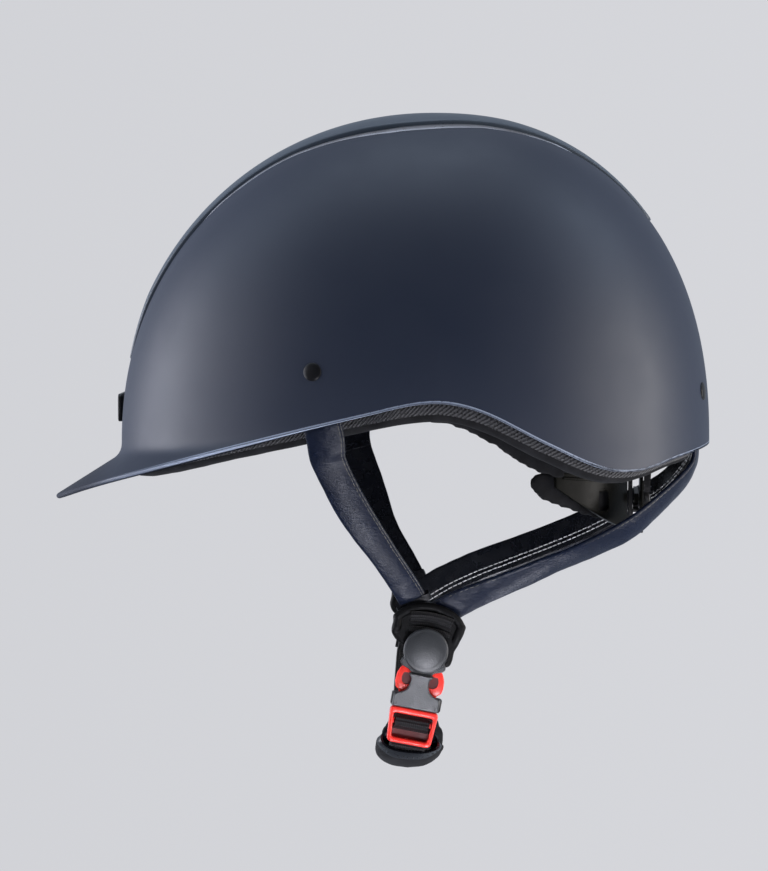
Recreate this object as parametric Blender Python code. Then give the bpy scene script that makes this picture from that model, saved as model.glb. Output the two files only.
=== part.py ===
"""Equestrian riding helmet: shell, liner, leather harness with a side-release buckle, and a dial-adjusted nape cradle.

Lengths are in millimetres and become metres where a mesh is made. +Z is up, the peak points along -Y, and the
wearer's left is +X. The origin is the centre of the head opening.
"""

import math

import bmesh
import bpy
from mathutils import Vector

MM = 0.001

# Shell: a dome of superelliptic plan and profile, with vertical walls below z = 0.
HALF_WIDTH = 108.0
FRONT_REACH = 146.0
REAR_REACH = 129.5
CENTRE_Y = 8.0
DOME_HEIGHT = 151.2
PLAN_POWER = 2.25
PROFILE_POWER = 2.15
SHELL_THICKNESS = 2.4
AROUND = 60

# Height of the rim against y, from the tip of the peak to the nape.
RIM = [(-171, -26.4), (-150, -18.2), (-126, -10.6), (-77, 3.0), (-18, 17.8), (12, 23.7),
       (34, 19.9), (64, 4.9), (88, -6.2), (104, -8.0), (122, -3.2), (138, 0.2)]
# How far the fabric roll hangs below the rim, against y.
ROLL_DROP = [(-130, 1.0), (-118, 3.2), (-72, 5.0), (-20, 7.0), (12, 8.5), (40, 8.0), (100, 5.0), (138, 5.0)]
PEAK_REACH = 32.0
PEAK_SPREAD = 36.0
PEAK_SLOPE = 0.568
FILLET = 5.0

# Layers, as depths below the outer shell surface.
ANCHOR_DEPTH = 3.2
ANCHOR_THICKNESS = 0.8
LINER_DEPTH = 4.3
LINER_THICKNESS = 14.0
PAD_DEPTH = 19.5
LINER_LIFT = 8.5
ROLL_DEPTH = 8.8
ROLL_HALF_WIDTH = 6.0
ROLL_PRESSED = 3.8
ROLL_CLEARANCE = 1.0
SIDE_PAD_HANG = 14.0

# Crest: half width against the angle from the front, about the dome's centre.
CREST = [(15.3, 16), (30, 20), (58, 24.5), (85, 28), (110, 17.5), (123, 11), (134.5, 7)]
CREST_FRONT, CREST_REAR = 15.3, 134.5
CREST_GAP = 0.3
CREST_RISE = 1.9
TRIM_WIDTH = 2.4
VENT_SLOTS = [(67, 84), (101, 132)]

STRAP_WIDTH = 15.0
STRAP_THICKNESS = 3.0
SIDES = {"left": 1, "right": -1}

# Strap centrelines for each side, from the shell down to the divider.
FRONT_STRAPS = {
    "left": [(98.9, -38, 19.3), (99.1, -37, 11), (96.6, -34.2, 2), (91.5, -30, -8), (85, -21.9, -27.6),
             (75, -10.3, -46.8), (66, -2, -61), (61.3, 2.2, -69), (60.4, 5, -76)],
    "right": [(-98.9, -38, 19.3), (-99.1, -37.2, 11), (-96.8, -35.4, 2), (-92.5, -32.4, -11), (-87, -26, -27.6),
              (-77, -18.6, -48.6), (-68, -10.5, -64), (-61.3, -6, -73), (-60.4, -3.5, -80)],
}
REAR_STRAPS = {
    "left": [(24, 130.4, 5.3), (24.2, 130.4, -1), (25.8, 129.4, -8), (30.5, 125.4, -15), (39.5, 114, -25.5),
             (49, 100.3, -35.9), (57.5, 81.2, -46), (62.5, 62.2, -54.2), (63.2, 40.1, -64.4), (60.6, 21, -72.7)],
    "right": [(-24, 130.4, 5.3), (-24.2, 130.4, -1), (-25.6, 129.3, -7.5), (-29.2, 124.7, -14.5),
              (-39, 114.6, -25.5), (-50, 98, -35.4), (-58.5, 74.7, -47.3), (-63, 47, -58.8), (-63, 28, -66),
              (-60.6, 13, -72.5)],
}
TEMPLE_PLUG = {"angle": 72.7, "z": 37.1}
NAPE_PLUG = {"angle": 166.8, "z": 25.2}
PLUG_RADIUS = 4.1

# Chin loop: it hangs from a hinge line through the two pivot discs.
PIVOTS = {"left": Vector((66, 8, -90.5)), "right": Vector((-66, -0.5, -94.5))}
HANG = Vector((0, -0.186, -0.983))
DISC_RADIUS = 10.15
SOCKET_HALF_WIDTH = 11.2
SOCKET_END = 27.0
WAIST = 4.15
FRAME_END = 43.5
LOOP_PATH = [(64.3, 2.2, -122.5), (64.0, 1.3, -129), (61.3, 0.2, -136.5), (53.5, -0.9, -142.8), (39, -1.6, -146.8),
             (20, -1.8, -149.0), (0, -2.2, -149.8), (-20, -2.8, -149.4), (-39, -3.6, -147.0), (-53, -4.2, -142.0),
             (-61, -4.6, -133.5), (-64, -4.2, -122), (-64.8, -3.2, -109.3)]
WEBBING_WIDTH = 19.0
WEBBING_THICKNESS = 1.6
PAD_WIDTH = 30.0

# Cradle: arms on an ellipse in plan, hung on a pin inside the rear of the liner.
CRADLE_CENTRE_Y = 40.0
CRADLE_HALF_WIDTH = 67.0
CRADLE_REACH = 66.5
HINGE_Y, HINGE_Z = 110.5, 12.0
DIAL_Z = -32.0
DIAL_RADIUS = 7.7
PINION_TEETH = 12
PINION_RADIUS = 4.8
TOOTH_PITCH = 2 * math.pi * PINION_RADIUS / PINION_TEETH
GAP = 0.3

COLOURS = {
    "shell_navy": ((0.030, 0.038, 0.062), 0.42, 0.0),
    "crest_slate": ((0.055, 0.070, 0.090), 0.35, 0.0),
    "trim_gloss": ((0.10, 0.11, 0.13), 0.12, 0.3),
    "black_plastic": ((0.012, 0.012, 0.014), 0.4, 0.0),
    "gloss_black": ((0.02, 0.02, 0.018), 0.15, 0.0),
    "liner_foam": ((0.03, 0.03, 0.03), 0.9, 0.0),
    "mesh_fabric": ((0.02, 0.02, 0.022), 0.95, 0.0),
    "navy_leather": ((0.022, 0.030, 0.058), 0.5, 0.0),
    "black_webbing": ((0.014, 0.014, 0.016), 0.9, 0.0),
    "grey_plastic": ((0.085, 0.088, 0.095), 0.45, 0.0),
    "red_plastic": ((0.78, 0.045, 0.03), 0.35, 0.0),
    "steel": ((0.5, 0.5, 0.52), 0.35, 1.0),
}


def clear_scene():
    for obj in list(bpy.data.objects):
        bpy.data.objects.remove(obj, do_unlink=True)


def material(name):
    """The Principled material of this name, made on first use."""
    if name in bpy.data.materials:
        return bpy.data.materials[name]
    colour, roughness, metallic = COLOURS[name]
    made = bpy.data.materials.new(name)
    made.use_nodes = True
    shader = made.node_tree.nodes["Principled BSDF"]
    shader.inputs["Base Color"].default_value = (*colour, 1)
    shader.inputs["Roughness"].default_value = roughness
    shader.inputs["Metallic"].default_value = metallic
    return made


def pivot(name, place):
    """An empty on a joint's axis; the pieces that move with it are its children."""
    empty = bpy.data.objects.new(name, None)
    empty.location = Vector(place) * MM
    empty.empty_display_size = 0.01
    bpy.context.scene.collection.objects.link(empty)
    return empty


def make(name, points, faces, finish, parent=None, smooth=30):
    """An object from points in millimetres, with its faces turned outward. Its origin is its parent's, or its middle."""
    points = [Vector(p) for p in points]
    low = Vector(min(p[i] for p in points) for i in range(3))
    high = Vector(max(p[i] for p in points) for i in range(3))
    origin = parent.location / MM if parent else (low + high) / 2
    mesh = bpy.data.meshes.new(name)
    mesh.from_pydata([(p - origin) * MM for p in points], [], faces)
    edit = bmesh.new()
    edit.from_mesh(mesh)
    bmesh.ops.remove_doubles(edit, verts=edit.verts, dist=1e-6)
    bmesh.ops.recalc_face_normals(edit, faces=edit.faces)
    edit.to_mesh(mesh)
    edit.free()
    mesh.materials.append(material(finish))
    mesh.shade_smooth()
    mesh.set_sharp_from_angle(angle=math.radians(smooth))
    obj = bpy.data.objects.new(name, mesh)
    bpy.context.scene.collection.objects.link(obj)
    if parent:
        obj.parent = parent
    else:
        obj.location = origin * MM
    return obj


def boolean(obj, cutter, operation="DIFFERENCE"):
    """Cuts the helper from the object, or joins it on; the helper is hidden."""
    cutter.hide_render = True
    cutter.display_type = "WIRE"
    modifier = obj.modifiers.new(cutter.name, "BOOLEAN")
    modifier.operation = operation
    modifier.solver = "EXACT"
    modifier.object = cutter


# ---- curves and surfaces ----


def smooth_value(points, x):
    """The height at x of a smooth curve through (x, height) points."""
    x = min(max(x, points[0][0]), points[-1][0])
    last = len(points) - 1
    i = max(k for k in range(last) if points[k][0] <= x)

    def slope(k):
        a, b = points[max(k - 1, 0)], points[min(k + 1, last)]
        return (b[1] - a[1]) / (b[0] - a[0])

    (x0, y0), (x1, y1) = points[i], points[i + 1]
    t = (x - x0) / (x1 - x0)
    rise0, rise1 = slope(i) * (x1 - x0), slope(i + 1) * (x1 - x0)
    return ((2 * t - 3) * t * t + 1) * y0 + ((t - 2) * t + 1) * t * rise0 + (3 - 2 * t) * t * t * y1 + (t - 1) * t * t * rise1


def smooth_path(points, count):
    """Count points along a smooth curve through the given points."""
    tracks = [[(k, p[axis]) for k, p in enumerate(points)] for axis in range(3)]
    steps = [(len(points) - 1) * i / (count - 1) for i in range(count)]
    return [Vector([smooth_value(track, u) for track in tracks]) for u in steps]


def rim_height(y):
    return smooth_value(RIM, y)


def plan_direction(angle):
    """A point on the unit plan outline; angle runs from the front towards the wearer's left, in degrees."""
    s, c = math.sin(math.radians(angle)), math.cos(math.radians(angle))
    power = 2 / PLAN_POWER
    return math.copysign(abs(s) ** power, s), -math.copysign(abs(c) ** power, c)


def profile_power(forward):
    return PROFILE_POWER + 0.1 * forward


def plan_point(angle, depth, share, z):
    ux, uy = plan_direction(angle)
    reach = (FRONT_REACH if uy < 0 else REAR_REACH) - depth
    return Vector(((HALF_WIDTH - depth) * ux * share, CENTRE_Y + reach * uy * share, z))


def wall_point(angle, z, depth=0.0):
    """The point of the dome at this plan angle and height, depth below the outer surface."""
    power = profile_power(plan_direction(angle)[1])
    share = (1 - (max(z, 0) / (DOME_HEIGHT - depth)) ** power) ** (1 / power)
    return plan_point(angle, depth, share, z)


def dome_point(angle, share, foot, depth=0.0):
    """The point at a share of the way from the crown (0) down to the height called foot (1)."""
    power = profile_power(plan_direction(angle)[1])
    height = DOME_HEIGHT - depth
    low = math.asin((foot / height) ** (power / 2)) if foot > 0 else foot / height
    turn = math.pi / 2 - share * (math.pi / 2 - low)
    if turn <= 0:
        return plan_point(angle, depth, 1, height * turn)
    return plan_point(angle, depth, math.cos(turn) ** (2 / power), height * math.sin(turn) ** (2 / power))


def dome_level(x, y, z, depth):
    reach = (FRONT_REACH if y < CENTRE_Y else REAR_REACH) - depth
    across, along = x / (HALF_WIDTH - depth), (y - CENTRE_Y) / reach
    share = (abs(across) ** PLAN_POWER + abs(along) ** PLAN_POWER) ** (1 / PLAN_POWER)
    power = profile_power(along / share) if share else PROFILE_POWER
    return share**power + (max(z, 0) / (DOME_HEIGHT - depth)) ** power


def crown_point(angle, x, depth):
    """The dome's point at side distance x, in the direction angle (from the front, over the top) about its centre."""
    along, up = -math.cos(math.radians(angle)), math.sin(math.radians(angle))
    near, far = 0.0, 200.0
    for _ in range(40):
        middle = (near + far) / 2
        inside = dome_level(x, CENTRE_Y + middle * along, middle * up, depth) < 1
        near, far = (middle, far) if inside else (near, middle)
    return Vector((x, CENTRE_Y + near * along, near * up))


def plan_normal(angle):
    ux, uy = plan_direction(angle)
    reach = FRONT_REACH if uy < 0 else REAR_REACH
    nx = math.copysign(abs(ux) ** (PLAN_POWER - 1) / HALF_WIDTH, ux)
    ny = math.copysign(abs(uy) ** (PLAN_POWER - 1) / reach, uy)
    return Vector((nx, ny, 0)).normalized()


# ---- solids from grids and sections ----


def grid_faces(rows, columns, closed, start=0):
    last = columns if closed else columns - 1
    faces = []
    for r in range(rows - 1):
        for c in range(last):
            a, b = start + r * columns + c, start + r * columns + (c + 1) % columns
            faces.append((a, a + columns, b + columns, b))
    return faces


def skin(name, outer, inner, finish, closed=False, parent=None, smooth=50):
    """A closed solid between two grids of points that have the same rows and columns."""
    rows, columns = len(outer), len(outer[0])
    size = rows * columns
    points = [p for row in outer for p in row] + [p for row in inner for p in row]
    faces = grid_faces(rows, columns, closed)
    faces += [face[::-1] for face in grid_faces(rows, columns, closed, size)]
    for r in (0, rows - 1):
        for c in range(columns if closed else columns - 1):
            a, b = r * columns + c, r * columns + (c + 1) % columns
            faces.append((a, b, b + size, a + size))
    if not closed:
        for c in (0, columns - 1):
            for r in range(rows - 1):
                a = r * columns + c
                faces.append((a, a + columns, a + columns + size, a + size))
    return make(name, points, faces, finish, parent, smooth)


def loft(name, sections, finish, closed=False, parent=None, smooth=40):
    """A solid through sections with the same number of points, capped, or closed into a ring."""
    count = len(sections[0])
    points = [p for section in sections for p in section]
    faces = []
    for i in range(len(sections) if closed else len(sections) - 1):
        first, after = i * count, (i + 1) % len(sections) * count
        for k in range(count):
            faces.append((first + k, first + (k + 1) % count, after + (k + 1) % count, after + k))
    if not closed:
        faces += [tuple(range(count)), tuple(range(len(points) - count, len(points)))]
    return make(name, points, faces, finish, parent, smooth)


def strap(name, path, outward, width, thickness, finish, parent=None, shift=0.0):
    """A flat band along path. outward gives each point's outer side; shift moves the band along it."""
    sections = []
    for i, centre in enumerate(path):
        along = (path[min(i + 1, len(path) - 1)] - path[max(i - 1, 0)]).normalized()
        out = outward[i] - along * along.dot(outward[i])
        out.normalize()
        across = along.cross(out) * width / 2
        middle, half = centre + out * shift, out * thickness / 2
        sections.append([middle - across - half, middle + across - half, middle + across + half, middle - across + half])
    return loft(name, sections, finish, parent=parent)


def plate(name, outline, frame, start, end, finish, parent=None):
    """An outline of (u, v) points extruded from start to end along the frame's third axis."""
    origin, u_axis, v_axis, w_axis = frame
    flat = [origin + u_axis * u + v_axis * v for u, v in outline]
    return loft(name, [[p + w_axis * w for p in flat] for w in (start, end)], finish, parent=parent, smooth=25)


def turned(name, profile, origin, axis, finish, parent=None, sides=20):
    """A solid of revolution: profile lists (radius, distance along axis), from one pole to the other."""
    axis = axis.normalized()
    side = axis.orthogonal().normalized()
    other = axis.cross(side)
    rings = []
    for radius, along in profile:
        turns = [2 * math.pi * k / sides for k in range(sides)]
        rings.append([origin + axis * along + (side * math.cos(t) + other * math.sin(t)) * radius for t in turns])
    return loft(name, rings, finish, parent=parent, smooth=35)


def circle(radius, sides, u=0.0, v=0.0):
    turns = [2 * math.pi * k / sides for k in range(sides)]
    return [(u + radius * math.cos(t), v + radius * math.sin(t)) for t in turns]


def box_outline(u0, u1, v0, v1):
    return [(u0, v0), (u1, v0), (u1, v1), (u0, v1)]


X_AXIS, Y_AXIS, Z_AXIS = Vector((1, 0, 0)), Vector((0, 1, 0)), Vector((0, 0, 1))


# ---- shell, crest and vents ----


def peak_reach(angle):
    angle = (angle + 180) % 360 - 180
    return PEAK_REACH * math.exp(-((angle / PEAK_SPREAD) ** 2))


def rim_y(angle):
    """The y of the rim's outer edge at this plan angle, the peak included."""
    return (plan_point(angle, 0, 1, 0) + plan_normal(angle) * peak_reach(angle)).y


def shell_column(angle):
    """Outer points from the crown down the wall, through the peak's fillet, to the rim."""
    reach = peak_reach(angle)
    edge_z = rim_height(rim_y(angle))
    corner_z = edge_z + PEAK_SLOPE * reach + 2.0
    foot = corner_z + FILLET
    column = [dome_point(angle, share / 9, foot) for share in range(10)]
    wall, corner = column[-1], wall_point(angle, corner_z)
    edge = wall_point(angle, edge_z) + plan_normal(angle) * reach
    onto_peak = corner.lerp(edge, min(0.5, FILLET / (edge - corner).length))
    for t in (0.35, 0.7):
        column.append(wall * (1 - t) ** 2 + corner * 2 * t * (1 - t) + onto_peak * t * t)
    return column + [onto_peak, edge]


def around(count=AROUND):
    return [360 * k / count for k in range(count)]


def vent_patch(name, angles, sides_of, top, bottom, finish, steps):
    """A patch over the crown between two depths; sides_of gives its two x limits at an angle."""
    grids = []
    for depth in (top, bottom):
        rows = []
        for i in range(steps + 1):
            angle = angles[0] + (angles[1] - angles[0]) * i / steps
            low, high = sides_of(angle)
            rows.append([crown_point(angle, low + (high - low) * k / 2, depth) for k in range(3)])
        grids.append(rows)
    return skin(name, grids[0], grids[1], finish)


def crest_half_width(angle):
    return smooth_value(CREST, angle)


def crest_slots():
    """The x limits of the vent slot under each edge of the crest, by side."""
    def side_of(sign):
        def limits(angle):
            edge = crest_half_width(angle)
            return sorted((sign * (edge - 4.0), sign * (edge + 0.9)))
        return limits
    return {side: side_of(sign) for side, sign in SIDES.items()}


def outer_shell():
    columns = [shell_column(angle) for angle in around()]
    rows = [list(row) for row in zip(*columns)]
    mesh = bpy.data.meshes.new("outer_shell")
    mesh.from_pydata([p * MM for row in rows for p in row], [], grid_faces(len(rows), AROUND, True))
    edit = bmesh.new()
    edit.from_mesh(mesh)
    bmesh.ops.remove_doubles(edit, verts=edit.verts, dist=1e-6)
    edit.to_mesh(mesh)
    edit.free()
    mesh.materials.append(material("shell_navy"))
    mesh.shade_smooth()
    shell = bpy.data.objects.new("outer_shell", mesh)
    bpy.context.scene.collection.objects.link(shell)
    wall = shell.modifiers.new("wall", "SOLIDIFY")
    wall.thickness = SHELL_THICKNESS * MM
    wall.offset = -1
    for side, limits in crest_slots().items():
        for number, slot in enumerate(VENT_SLOTS):
            cutter = vent_patch(f"slot_cutter_{side}_{number}", slot, limits, -3, 3.2, "shell_navy", 6)
            boolean(shell, cutter)
    exhaust = vent_patch("exhaust_cutter", (132.8, 137.2), lambda a: (-5.5, 5.5), -3, 3.2, "shell_navy", 2)
    boolean(shell, exhaust)
    for name, plug, sign in plug_places():
        place, out = plug_place(plug, sign)
        boolean(shell, turned(f"{name}_cutter", [(2.6, -5), (2.6, 3)], place, out, "shell_navy", sides=12))


def crest_rise(angle):
    """The crest's thickness on its centreline: it ramps up from the front and thins away behind the crown."""
    return CREST_RISE * min(1, (angle - CREST_FRONT) / 14 + 0.15, (CREST_REAR - angle) / 42 + 0.25)


def crest():
    steps = 30
    grids = []
    for raised in (True, False):
        rows = []
        for i in range(steps + 1):
            angle = CREST_FRONT + (CREST_REAR - CREST_FRONT) * i / steps
            edge = crest_half_width(angle)
            rise = crest_rise(angle)
            row = []
            for k in range(7):
                share = k / 3 - 1
                depth = -CREST_GAP - (rise * (1 - 0.35 * abs(share) ** 4) if raised else 0)
                row.append(crown_point(angle, edge * share, depth))
            rows.append(row)
        grids.append(rows)
    skin("crest_panel", grids[0], grids[1], "crest_slate")


def crest_trims():
    steps = 34
    for side, sign in SIDES.items():
        sections = []
        for i in range(steps + 1):
            angle = CREST_FRONT + (CREST_REAR - CREST_FRONT) * i / steps
            near = crest_half_width(angle) + 1.0
            far = near + TRIM_WIDTH
            corners = ((near, -CREST_GAP), (far, -CREST_GAP), (far - 0.5, -1.3), (near, -1.5))
            sections.append([crown_point(angle, sign * x, depth) for x, depth in corners])
        loft(f"crest_trim_{side}", sections, "trim_gloss")


def vent_meshes():
    for side, limits in crest_slots().items():
        def wider(angle, limits=limits):
            low, high = limits(angle)
            return low - 2, high + 2
        vent_patch(f"vent_mesh_{side}", (64, 129), wider, 3.1, 3.8, "black_plastic", 18)
    vent_patch("vent_mesh_rear", (131, 139.5), lambda a: (-8, 8), 2.9, 3.7, "black_plastic", 3)


def front_badge():
    """A flat rounded plate low on the forehead."""
    half_width, low, high, corner = 12.0, 8.9, 21.9, 2.5
    outline = []
    for centre_x, centre_z, start in ((half_width - corner, high - corner, 0), (corner - half_width, high - corner, 90),
                                      (corner - half_width, low + corner, 180), (half_width - corner, low + corner, 270)):
        for k in range(4):
            turn = math.radians(start + 30 * k)
            outline.append((centre_x + corner * math.cos(turn), centre_z + corner * math.sin(turn)))
    frame = (Vector((0, -138.2, 0)), X_AXIS, Z_AXIS, Y_AXIS)
    plate("front_badge", outline, frame, -1.5, 0, "black_plastic")


def plug_places():
    for kind, plug in (("temple", TEMPLE_PLUG), ("nape", NAPE_PLUG)):
        for side, sign in SIDES.items():
            yield f"{kind}_plug_{side}", plug, sign


def plug_place(plug, sign):
    """Where a plug sits on the shell, and the surface's outward direction there."""
    angle, z = plug["angle"] * sign, plug["z"]
    place = wall_point(angle, z)
    up = wall_point(angle, z + 1) - wall_point(angle, z - 1)
    along = wall_point(angle + 1, z) - wall_point(angle - 1, z)
    out = along.cross(up).normalized()
    return place, out


def plugs():
    profile = [(2.2, -2.6), (2.2, 0.45), (PLUG_RADIUS, 0.45), (PLUG_RADIUS, 0.8), (3.2, 1.35), (1.6, 1.6)]
    for name, plug, sign in plug_places():
        place, out = plug_place(plug, sign)
        turned(name, profile, place, out, "black_plastic", sides=16)


# ---- liner, pads and roll ----


def strap_pressure(angle):
    """How much the roll is pushed in where a strap passes it, from 0 to 1."""
    angle = abs((angle + 180) % 360 - 180)
    total = 0.0
    for centre, flat, fade in ((74.8, 6.5, 5.0), (169.0, 6.0, 4.0)):
        total += min(1, max(0, 1 - (abs(angle - centre) - flat) / fade))
    return min(total, 1)


def liner_foot(angle):
    return rim_height(plan_point(angle, 0, 1, 0).y) + LINER_LIFT


def liner():
    grids = []
    for depth in (LINER_DEPTH, LINER_DEPTH + LINER_THICKNESS):
        columns = [[dome_point(a, share / 8, liner_foot(a), depth) for share in range(9)] for a in around(48)]
        grids.append([list(row) for row in zip(*columns)])
    skin("eps_liner", grids[0], grids[1], "liner_foam", closed=True)


def rim_roll():
    sections = []
    for angle in around(90):
        y = wall_point(angle, 0, ROLL_DEPTH).y
        rim = rim_height(plan_point(angle, 0, 1, 0).y)
        drop = smooth_value(ROLL_DROP, y)
        half_height = (LINER_LIFT - ROLL_CLEARANCE + drop) / 2
        middle_z = rim - drop + half_height
        pressed = ROLL_PRESSED * strap_pressure(angle)
        section = []
        for k in range(8):
            turn = math.radians(45 * k)
            depth = ROLL_DEPTH + pressed - (ROLL_HALF_WIDTH - 0.25 * pressed) * math.cos(turn)
            section.append(wall_point(angle, middle_z + half_height * math.sin(turn), depth))
        sections.append(section)
    loft("rim_roll", sections, "mesh_fabric", closed=True, smooth=80)


def wall_pad(name, angles, low, high, thickness, steps=8):
    """A pad on the inside of the liner. low and high give its heights at a plan angle."""
    grids = []
    for depth in (PAD_DEPTH, PAD_DEPTH + thickness):
        rows = []
        for r in range(4):
            row = []
            for i in range(steps + 1):
                angle = angles[0] + (angles[1] - angles[0]) * i / steps
                row.append(wall_point(angle, low(angle) + (high(angle) - low(angle)) * r / 3, depth))
            rows.append(row)
        grids.append(rows)
    skin(name, grids[0], grids[1], "mesh_fabric")


def pads():
    def rim_at(angle):
        return rim_height(plan_point(angle, 0, 1, 0).y)
    wall_pad("brow_pad", (-48, 48), lambda a: rim_at(a) - 1, lambda a: 32, 4.3, 12)

    def side_foot(angle):
        return rim_at(angle) - 2 - SIDE_PAD_HANG * min(1, max(0, (abs(angle) - 66) / 18))
    for side, sign in SIDES.items():
        wall_pad(f"side_pad_{side}", (52 * sign, 124 * sign), side_foot, lambda a: rim_at(a) + 30, 4.3, 12)
    grids = []
    for depth in (PAD_DEPTH, PAD_DEPTH + 5.5):
        rows = []
        for r in range(7):
            row = [crown_point(62 + 56 * r / 6, -42 + 84 * c / 6, depth) for c in range(7)]
            rows.append(row)
        grids.append(rows)
    skin("crown_pad", grids[0], grids[1], "mesh_fabric")


# ---- harness ----


def anchors():
    """Thin plates between shell and liner, from each strap's end up to behind its plug."""
    for kind, plug, half in (("front", TEMPLE_PLUG, 4.2), ("rear", NAPE_PLUG, 3.6)):
        for side, sign in SIDES.items():
            foot = rim_height(plan_point(plug["angle"], 0, 1, 0).y) + 8.6
            grids = []
            for depth in (ANCHOR_DEPTH, ANCHOR_DEPTH + ANCHOR_THICKNESS):
                rows = []
                for r in range(4):
                    z = foot + (plug["z"] + 6 - foot) * r / 3
                    rows.append([wall_point(sign * (plug["angle"] + half * (c - 1)), z, depth) for c in range(3)])
                grids.append(rows)
            skin(f"{kind}_anchor_{side}", grids[0], grids[1], "steel")


def harness_straps():
    for side, sign in SIDES.items():
        front = smooth_path(FRONT_STRAPS[side], 22)
        outward = [Vector((sign, -0.17 * max(0, 1 - i / 11), 0)) for i in range(22)]
        strap(f"front_strap_{side}", front, outward, STRAP_WIDTH, STRAP_THICKNESS, "navy_leather")
        rear = smooth_path(REAR_STRAPS[side], 26)
        outward = []
        for i in range(26):
            turned_back = min(1, max(0, (13 - i) / 7))
            outward.append(Vector((sign * (1 - 0.86 * turned_back), 0.99 * turned_back, 0)))
        strap(f"rear_strap_{side}", rear, outward, STRAP_WIDTH, STRAP_THICKNESS, "navy_leather")


def chin_frames():
    """For each side: origin at the pivot, u forward, v down, w outward along the hinge line."""
    hinge = (PIVOTS["left"] - PIVOTS["right"]).normalized()
    down = (HANG - hinge * HANG.dot(hinge)).normalized()
    frames = {}
    for side, sign in SIDES.items():
        out = hinge * sign
        forward = down.cross(hinge)
        if forward.y > 0:
            forward = -forward
        frames[side] = (PIVOTS[side], forward, down, out)
    return frames


def dividers(frames):
    outline = [(-9.5, 6.5), (-13.2, -2), (-15.8, -11), (-15.2, -14.5), (-10, -19), (0, -21.3), (10, -19.4),
               (16.5, -14), (17, -10.5), (14, -2), (9.5, 6.5)]
    for side in SIDES:
        plate(f"divider_guard_{side}", outline, frames[side], -2.2, 0, "black_webbing")
        roll = [(u, v) for u, v in ((-10, -14.6), (-6, -15.8), (0, -16.4), (6, -15.8), (10, -14.6), (8.6, -11.2), (-8.6, -11.2))]
        plate(f"webbing_roll_{side}", roll, frames[side], GAP, 3.2, "black_webbing")
        origin, _, _, out = frames[side]
        profile = [(3.0, GAP), (3.0, 4.3), (DISC_RADIUS, 4.3), (DISC_RADIUS, 5.8), (DISC_RADIUS - 1.2, 6.8)]
        turned(f"pivot_disc_{side}", profile, origin, out, "grey_plastic", sides=28)


def socket_outline():
    """The female half of the buckle: a neck round the pivot, a waist between the side windows and a wide mouth."""
    ring = [(9.0 * math.cos(math.radians(a)), 9.0 * math.sin(math.radians(a))) for a in range(-200, 21, 20)]
    right = [(10.6, 6.6), (9.6, 8.4), (5.4, 9.6), (WAIST, 12.5), (WAIST, 16.0), (5.6, 18.6), (9.0, 19.8),
             (9.8, 21.0), (9.8, 24.0)]
    left = [(-u, v) for u, v in reversed(right)]
    return ring + right + left


def buckle(frames, loop, slide, prong_hinges):
    frame = frames["left"]
    origin, forward, down, out = frame
    socket = plate("buckle_socket", socket_outline(), frame, GAP, 4.0, "grey_plastic", loop)
    body = box_outline(-SOCKET_HALF_WIDTH, SOCKET_HALF_WIDTH, 20.2, SOCKET_END)
    boolean(socket, plate("socket_body", body, frame, -2.6, 5.4, "grey_plastic", loop), "UNION")
    boolean(socket, plate("socket_pivot_cutter", circle(3.4, 16), frame, -1, 6, "grey_plastic", loop))
    mouth = box_outline(-9.6, 9.6, 18.4, SOCKET_END + 1)
    boolean(socket, plate("socket_mouth_cutter", mouth, frame, -0.9, 3.7, "grey_plastic", loop))

    outer = [(11.2, SOCKET_END + GAP), (11.2, 30), (10.2, 41.5), (8.8, FRAME_END), (-8.8, FRAME_END), (-10.2, 41.5),
             (-11.2, 30), (-11.2, SOCKET_END + GAP)]
    tongue = plate("tongue_frame", outer, frame, -1.6, 4.2, "red_plastic", slide)
    window = [(8.9, 31), (8.2, 40), (7.4, 41), (-7.4, 41), (-8.2, 40), (-8.9, 31)]
    boolean(tongue, plate("frame_window_cutter", window, frame, -5, 8, "red_plastic", slide))
    for side, sign in (("front", 1), ("rear", -1)):
        boolean(tongue, turned(f"prong_seat_{side}", [(1.9, -5), (1.9, 8)], origin + forward * 7.0 * sign + down * 28.2, out,
                               "red_plastic", slide, 12))
        boolean(tongue, plate(f"prong_way_{side}", box_outline(sign * 5.2, sign * 9.0, 26, 28.2), frame, -5, 8,
                              "red_plastic", slide))
    boolean(tongue, plate("frame_bar", box_outline(-8.6, 8.6, 34.6, 37.2), frame, -0.9, 1.3, "red_plastic", slide), "UNION")

    for side, sign in (("front", 1), ("rear", -1)):
        arm = [(5.9, 26.6), (6.3, 20), (6.9, 17.5), (7.0, 12), (6.6, 10.2), (8.2, 9.2), (10.2, 10.8), (10.9, 14),
               (10.8, 19.0), (8.4, 19.4), (8.0, 26.6), (8.2, 27.4), (8.4, 28.2), (7.7, 29.4), (6.3, 29.4), (5.6, 28.2)]
        arm = [(u * sign, v) for u, v in arm]
        plate(f"prong_{side}", arm, frame, -0.5, 3.3, "red_plastic", prong_hinges[side])


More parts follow.
